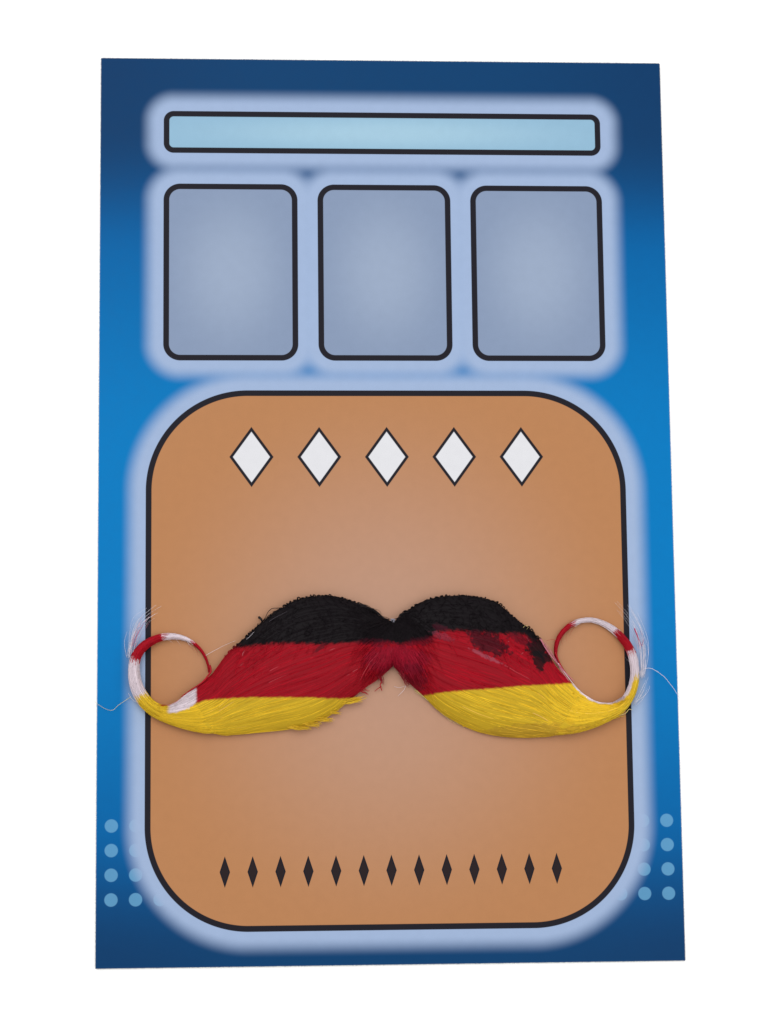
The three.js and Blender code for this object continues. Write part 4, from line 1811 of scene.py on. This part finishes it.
@dataclass(frozen=True)
class Fan:
    """A loose fan of fine hairs that leave a curl or a wing's edge together, in millimetres on the card."""

    colour: Stray
    count: int
    path: tuple[Spot, ...]
    spread: float
    height: float = 2.0
    width: float = 0.08


STRAYS = (
    StrayHair(Stray.GOLD, 0.13, 1.2, (
        (-75.0, -57.5), (-78.5, -59.8), (-80.4, -61.4), (-83.0, -60.6), (-86.6, -58.0),
    )),
    StrayHair(Stray.WHITE, 0.16, 2.0, (
        (71.5, -55.0), (73.4, -51.4), (75.6, -50.2), (77.9, -50.8), (81.6, -53.8), (85.9, -60.3),
        (87.9, -62.6),
    )),
    StrayHair(Stray.WHITE, 0.1, 1.0, ((-53.6, -45.7), (-49.0, -43.2), (-44.9, -41.4))),
    StrayHair(Stray.WHITE, 0.12, 1.0, ((-75.8, -56.5), (-74.3, -58.6), (-72.3, -59.4))),
    StrayHair(Stray.RED, 0.5, 1.6, (
        (-4.6, -50.6), (-2.9, -52.1), (-2.4, -53.6), (-2.8, -54.6), (-2.3, -56.2),
    )),
    StrayHair(Stray.RED, 0.3, 1.2, ((-2.5, -55.0), (-3.4, -55.6), (-4.4, -56.4))),
    StrayHair(Stray.BLACK, 0.16, 1.6, ((-1.4, -35.6), (0.2, -35.4), (1.4, -35.9), (2.6, -35.3))),
    StrayHair(Stray.BLACK, 0.14, 1.4, ((3.4, -35.0), (2.2, -35.1), (1.0, -35.6), (0.4, -36.4))),
    StrayHair(Stray.WHITE, 0.12, 1.0, ((4.8, -54.6), (4.2, -56.0), (3.2, -57.0), (2.4, -57.8))),
    StrayHair(Stray.WHITE, 0.1, 1.0, ((1.4, -55.0), (2.8, -55.4), (4.4, -54.9))),
    StrayHair(Stray.BLACK, 0.24, 1.8, (
        (-30.4, -31.8), (-32.5, -32.0), (-34.1, -32.1), (-35.3, -33.1), (-36.1, -34.7), (-37.2, -36.0),
        (-38.6, -37.4),
    )),
    StrayHair(Stray.BLACK, 0.8, 1.8, ((-38.0, -34.6), (-37.3, -35.3), (-36.9, -36.2))),
    StrayHair(Stray.GREY, 0.16, 4.6, ((-35.0, -36.1), (-33.2, -35.0), (-31.4, -34.1), (-29.9, -33.3))),
    StrayHair(Stray.MAGENTA, 0.45, 2.4, ((72.2, -38.5), (72.9, -40.6), (73.4, -42.0), (74.0, -43.4))),
    StrayHair(Stray.PINK, 0.34, 3.0, (
        (44.2, -41.4), (45.7, -44.3), (47.5, -46.9), (49.8, -49.6), (51.8, -51.9), (53.9, -53.9),
    )),
    StrayHair(Stray.WHITE, 0.09, 3.2, ((-41.7, -41.3), (-40.4, -40.1), (-39.2, -38.8))),
    StrayHair(Stray.GOLD, 0.1, 3.3, ((39.0, -38.4), (39.8, -37.6), (40.6, -38.0), (40.2, -38.8))),
    StrayHair(Stray.RED, 0.12, 1.4, ((49.6, -42.2), (48.0, -41.6), (46.2, -41.9))),
    StrayHair(Stray.RED, 0.6, 3.0, (
        (-52.3, -48.6), (-51.9, -50.3), (-52.7, -51.6), (-53.9, -53.1), (-55.5, -54.4), (-57.6, -55.7),
        (-60.4, -57.7),
    )),
    StrayHair(Stray.PINK, 0.25, 2.8, (
        (-57.2, -55.9), (-60.4, -58.1), (-62.7, -59.7), (-65.0, -60.2), (-67.6, -59.7),
    )),
    StrayHair(Stray.RED, 0.55, 2.0, (
        (48.7, -45.4), (49.4, -47.6), (50.5, -49.9), (52.3, -52.5), (53.6, -54.3),
    )),
    StrayHair(Stray.WHITE, 0.25, 2.6, (
        (49.4, -48.6), (50.6, -50.6), (52.2, -52.8), (53.9, -55.0), (55.4, -56.6),
    )),
    StrayHair(Stray.PINK, 0.3, 2.6, ((48.9, -48.2), (50.6, -51.4), (52.4, -53.8))),
    StrayHair(Stray.GOLD, 0.3, 1.6, ((67.2, -63.9), (68.9, -63.4), (70.0, -62.2), (71.0, -62.4))),
)
FANS = (
    Fan(Stray.WHITE, 22, ((-75.2, -46.0), (-74.4, -41.0), (-72.0, -36.2), (-67.2, -32.6)), 1.6),
    Fan(Stray.PINK, 7, ((-74.6, -43.0), (-73.0, -38.0), (-70.0, -33.6)), 1.2),
    Fan(Stray.WHITE, 26, ((74.0, -52.5), (74.9, -45.5), (73.4, -38.6), (69.4, -31.6)), 1.3),
    Fan(Stray.MAGENTA, 4, ((73.9, -44.2), (73.2, -41.6), (72.3, -38.8)), 0.5, width=0.12),
    Fan(Stray.BLACK, 16, ((-30.8, -33.0), (-33.2, -33.4), (-35.2, -34.9), (-37.6, -37.4)), 0.4, 2.0, 0.16),
    Fan(Stray.YELLOW, 18, ((60.8, -63.8), (64.8, -64.2), (68.6, -64.0)), 0.3, 1.6, 0.24),
    Fan(Stray.WHITE, 8, ((72.0, -60.5), (74.0, -57.6), (75.4, -54.4)), 1.0),
    Fan(Stray.YELLOW, 34, ((-14.5, -59.8), (-11.5, -59.2), (-7.6, -58.4)), 0.3, width=0.24),
    Fan(Stray.YELLOW, 26, ((-20.0, -62.6), (-17.2, -62.4), (-14.7, -62.6)), 0.3, width=0.24),
    Fan(Stray.YELLOW, 26, ((-22.6, -64.4), (-19.6, -64.5), (-16.8, -64.5)), 0.3, width=0.24),
    Fan(Stray.YELLOW, 22, ((-26.2, -65.4), (-23.2, -65.8), (-19.9, -65.9)), 0.25, width=0.22),
    Fan(Stray.YELLOW, 22, ((-29.6, -66.4), (-26.2, -66.9), (-22.3, -66.8)), 0.25, width=0.22),
    Fan(Stray.RED, 22, ((-11.6, -54.8), (-9.0, -55.6), (-6.6, -56.6)), 0.35, width=0.2),
    Fan(Stray.MAROON, 30, ((-4.6, -50.6), (-3.2, -52.4), (-2.0, -54.2)), 0.5, 2.2, 0.2),
    Fan(Stray.MAROON, 26, ((3.4, -50.8), (4.5, -52.6), (5.6, -54.6)), 0.6, 2.2, 0.18),
    Fan(Stray.GOLD, 9, ((7.6, -55.8), (12.4, -60.2), (17.6, -64.4), (22.4, -67.4)), 0.3, 0.9, 0.12),
    Fan(Stray.PINK, 6, ((44.4, -41.7), (46.6, -45.0), (49.2, -48.6), (51.4, -51.2)), 0.3, 2.8, 0.11),
    Fan(Stray.BLACK, 26, ((-9.4, -31.2), (-6.8, -31.8), (-4.2, -33.2)), 0.2, 1.9, 0.26),
    Fan(Stray.BLACK, 26, ((-5.4, -32.4), (-3.6, -33.6), (-2.0, -35.0)), 0.2, 1.9, 0.26),
    Fan(Stray.BLACK, 16, ((-2.6, -34.4), (-1.4, -35.3), (0.2, -35.8)), 0.2, 1.8, 0.24),
    Fan(Stray.BLACK, 26, ((6.4, -33.7), (4.8, -33.9), (3.7, -34.3), (3.3, -36.0)), 0.2, 1.9, 0.26),
)


@dataclass
class StrayHairs:
    """The single hairs that came loose and lie on the card or stand over it. Sizes are in millimetres."""

    trees: Trees
    hairs: tuple[StrayHair, ...] = STRAYS
    fans: tuple[Fan, ...] = FANS
    steps: int = 12
    fan_points: int = 5
    wander: float = 0.35
    bow: float = 0.5
    taper: float = 0.5
    sides: int = 4
    seed: int = 7

    def build(self) -> None:
        """Builds the loose hairs as one piece."""
        hairs = [*self.hairs, *self.fanned()]
        bow = self.bow * np.sin(np.linspace(0, np.pi, self.steps))
        points, edges = [], []
        for hair in hairs:
            run = follow(np.array(hair.points), np.linspace(0, 1, self.steps))
            start = len(points) * self.steps
            points.append(np.column_stack([run, hair.height + bow]) * MM)
            edges += [(start + i, start + i + 1) for i in range(self.steps - 1)]
        made = mesh_object("stray_hairs", np.concatenate(points), [], edges)
        dyes = np.repeat([hair.colour.value for hair in hairs], self.steps, axis=0)
        widths = np.repeat([hair.width * MM for hair in hairs], self.steps)
        made.data.attributes.new(DYE, "FLOAT_COLOR", "POINT").data.foreach_set("color", dyes.ravel())
        made.data.attributes.new(THICKNESS, "FLOAT", "POINT").data.foreach_set("value", widths)
        made = grow(made.name, self.trees.tubes, {
            "Taper": self.taper, "Sides": self.sides, "Finish": LooseHair().build(),
        }, made)
        keep(made, "hair")

    def fanned(self) -> list[StrayHair]:
        """Draws the hairs of the fans, each a little apart from the next.

        Returns:
            The hairs.
        """
        draw = np.random.default_rng(self.seed)
        drawn = []
        for fan in self.fans:
            path = np.array(fan.path)
            growth = np.linspace(0.25, 1, len(path))[:, None]
            for _ in range(fan.count):
                shift = draw.normal(0, fan.spread, 2) * growth + draw.normal(0, self.wander, path.shape)
                short = draw.uniform(0.55, 1)
                points = follow(path + shift, np.linspace(0, short, self.fan_points))
                drawn.append(StrayHair(fan.colour, fan.width * draw.uniform(0.6, 1.3),
                                       fan.height * draw.uniform(0.5, 1.5), tuple(map(tuple, points))))
        return drawn


@dataclass
class Card:
    """The backing card, the net and the tape, which keep their solids and get their finishes here."""

    nodes: dict[str, Piece]

    def build(self) -> None:
        """Dresses the three solids."""
        finishes = {"card": PrintedCard(), "net_base": Netting(), "adhesive_strip": Adhesive()}
        for node, finish in finishes.items():
            made = self.nodes[node]
            made.data.materials.clear()
            made.data.materials.append(finish.build())
            log.info("%s: new finish", node)


@dataclass(frozen=True)
class Lamp:
    """A square soft light: its name, its place and side in metres, and its power in watts."""

    name: str
    place: Place
    size: float
    power: float


LAMPS = (Lamp("key", (-0.35, 0.45, 1.1), 0.9, 7.8), Lamp("fill", (0.6, -0.2, 0.9), 0.8, 3.5))


@dataclass
class Studio:
    """The pale floor, the soft lights and the camera, whose place is in millimetres."""

    place: Place = (-44.18, -107.44, 704.4)
    look: Place = (0.0632, 0.1458, -0.9873)
    up: Place = (0.0021, 0.9893, 0.1462)
    lens: float = 85.0
    sensor: float = 36.0
    clip: tuple[float, float] = (0.01, 20.0)
    lamps: tuple[Lamp, ...] = LAMPS
    aim: Place = (0, -0.04, 0)
    sky: float = 0.63
    floor_size: float = 3.0
    floor_drop: float = -0.00005

    def build(self) -> None:
        """Builds the floor, the camera, the lights and the sky."""
        self.floor()
        self.camera()
        for lamp in self.lamps:
            self.light(lamp)
        world = bpy.data.worlds.new("soft_sky")
        world.use_nodes = True
        background = world.node_tree.nodes["Background"]
        background.inputs["Color"].default_value = (1.0, 1.0, 1.0, 1.0)
        background.inputs["Strength"].default_value = self.sky
        bpy.context.scene.world = world
        bpy.context.scene.view_settings.view_transform = "Standard"

    def floor(self) -> None:
        """Lays the pale floor just under the card."""
        size, drop = self.floor_size, self.floor_drop
        square = np.array([(x * size, y * size, drop) for x, y in ((-1, -1), (1, -1), (1, 1), (-1, 1))])
        made = mesh_object("floor", square, [(0, 1, 2, 3)])
        made.data.materials.append(Backdrop().build())

    def light(self, lamp: Lamp) -> None:
        """Hangs a light that faces the moustache.

        Args:
            lamp: The light.
        """
        data = bpy.data.lights.new(lamp.name, "AREA")
        data.size, data.energy = lamp.size, lamp.power
        made = bpy.data.objects.new(lamp.name, data)
        made.location = lamp.place
        made.rotation_mode = "QUATERNION"
        made.rotation_quaternion = (Vector(self.aim) - Vector(lamp.place)).to_track_quat("-Z", "Y")
        bpy.context.collection.objects.link(made)

    def camera(self) -> None:
        """Sets the camera where the photograph was taken from."""
        data = bpy.data.cameras.new("camera")
        data.lens, data.sensor_width = self.lens, self.sensor
        data.clip_start, data.clip_end = self.clip
        made = bpy.data.objects.new("camera", data)
        back = -Vector(self.look).normalized()
        across = Vector(self.up).cross(back).normalized()
        turned = Matrix((across, back.cross(across), back)).transposed().to_4x4()
        made.matrix_world = Matrix.Translation(Vector(self.place) * MM) @ turned
        bpy.context.collection.objects.link(made)
        bpy.context.scene.camera = made


def main() -> None:
    """Builds every piece in order and reports it."""
    logging.basicConfig(level=logging.INFO, format="%(name)s: %(message)s")
    Studio().build()
    Card(FRAME["nodes"]).build()
    trees = Trees()
    for side in (LEFT, RIGHT):
        Wing(side, trees).build()
        Curl(side, trees).build()
        Edging(side, trees).build()
    Parting(trees).build()
    StrayHairs(trees).build()


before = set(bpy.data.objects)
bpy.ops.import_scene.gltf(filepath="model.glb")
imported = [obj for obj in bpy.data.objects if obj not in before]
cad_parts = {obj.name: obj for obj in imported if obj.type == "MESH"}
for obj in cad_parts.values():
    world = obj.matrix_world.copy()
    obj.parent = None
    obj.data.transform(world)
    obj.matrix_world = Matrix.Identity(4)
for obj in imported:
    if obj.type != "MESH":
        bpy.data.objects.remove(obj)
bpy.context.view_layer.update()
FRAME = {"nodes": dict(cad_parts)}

if __name__ == "__main__":
    main()
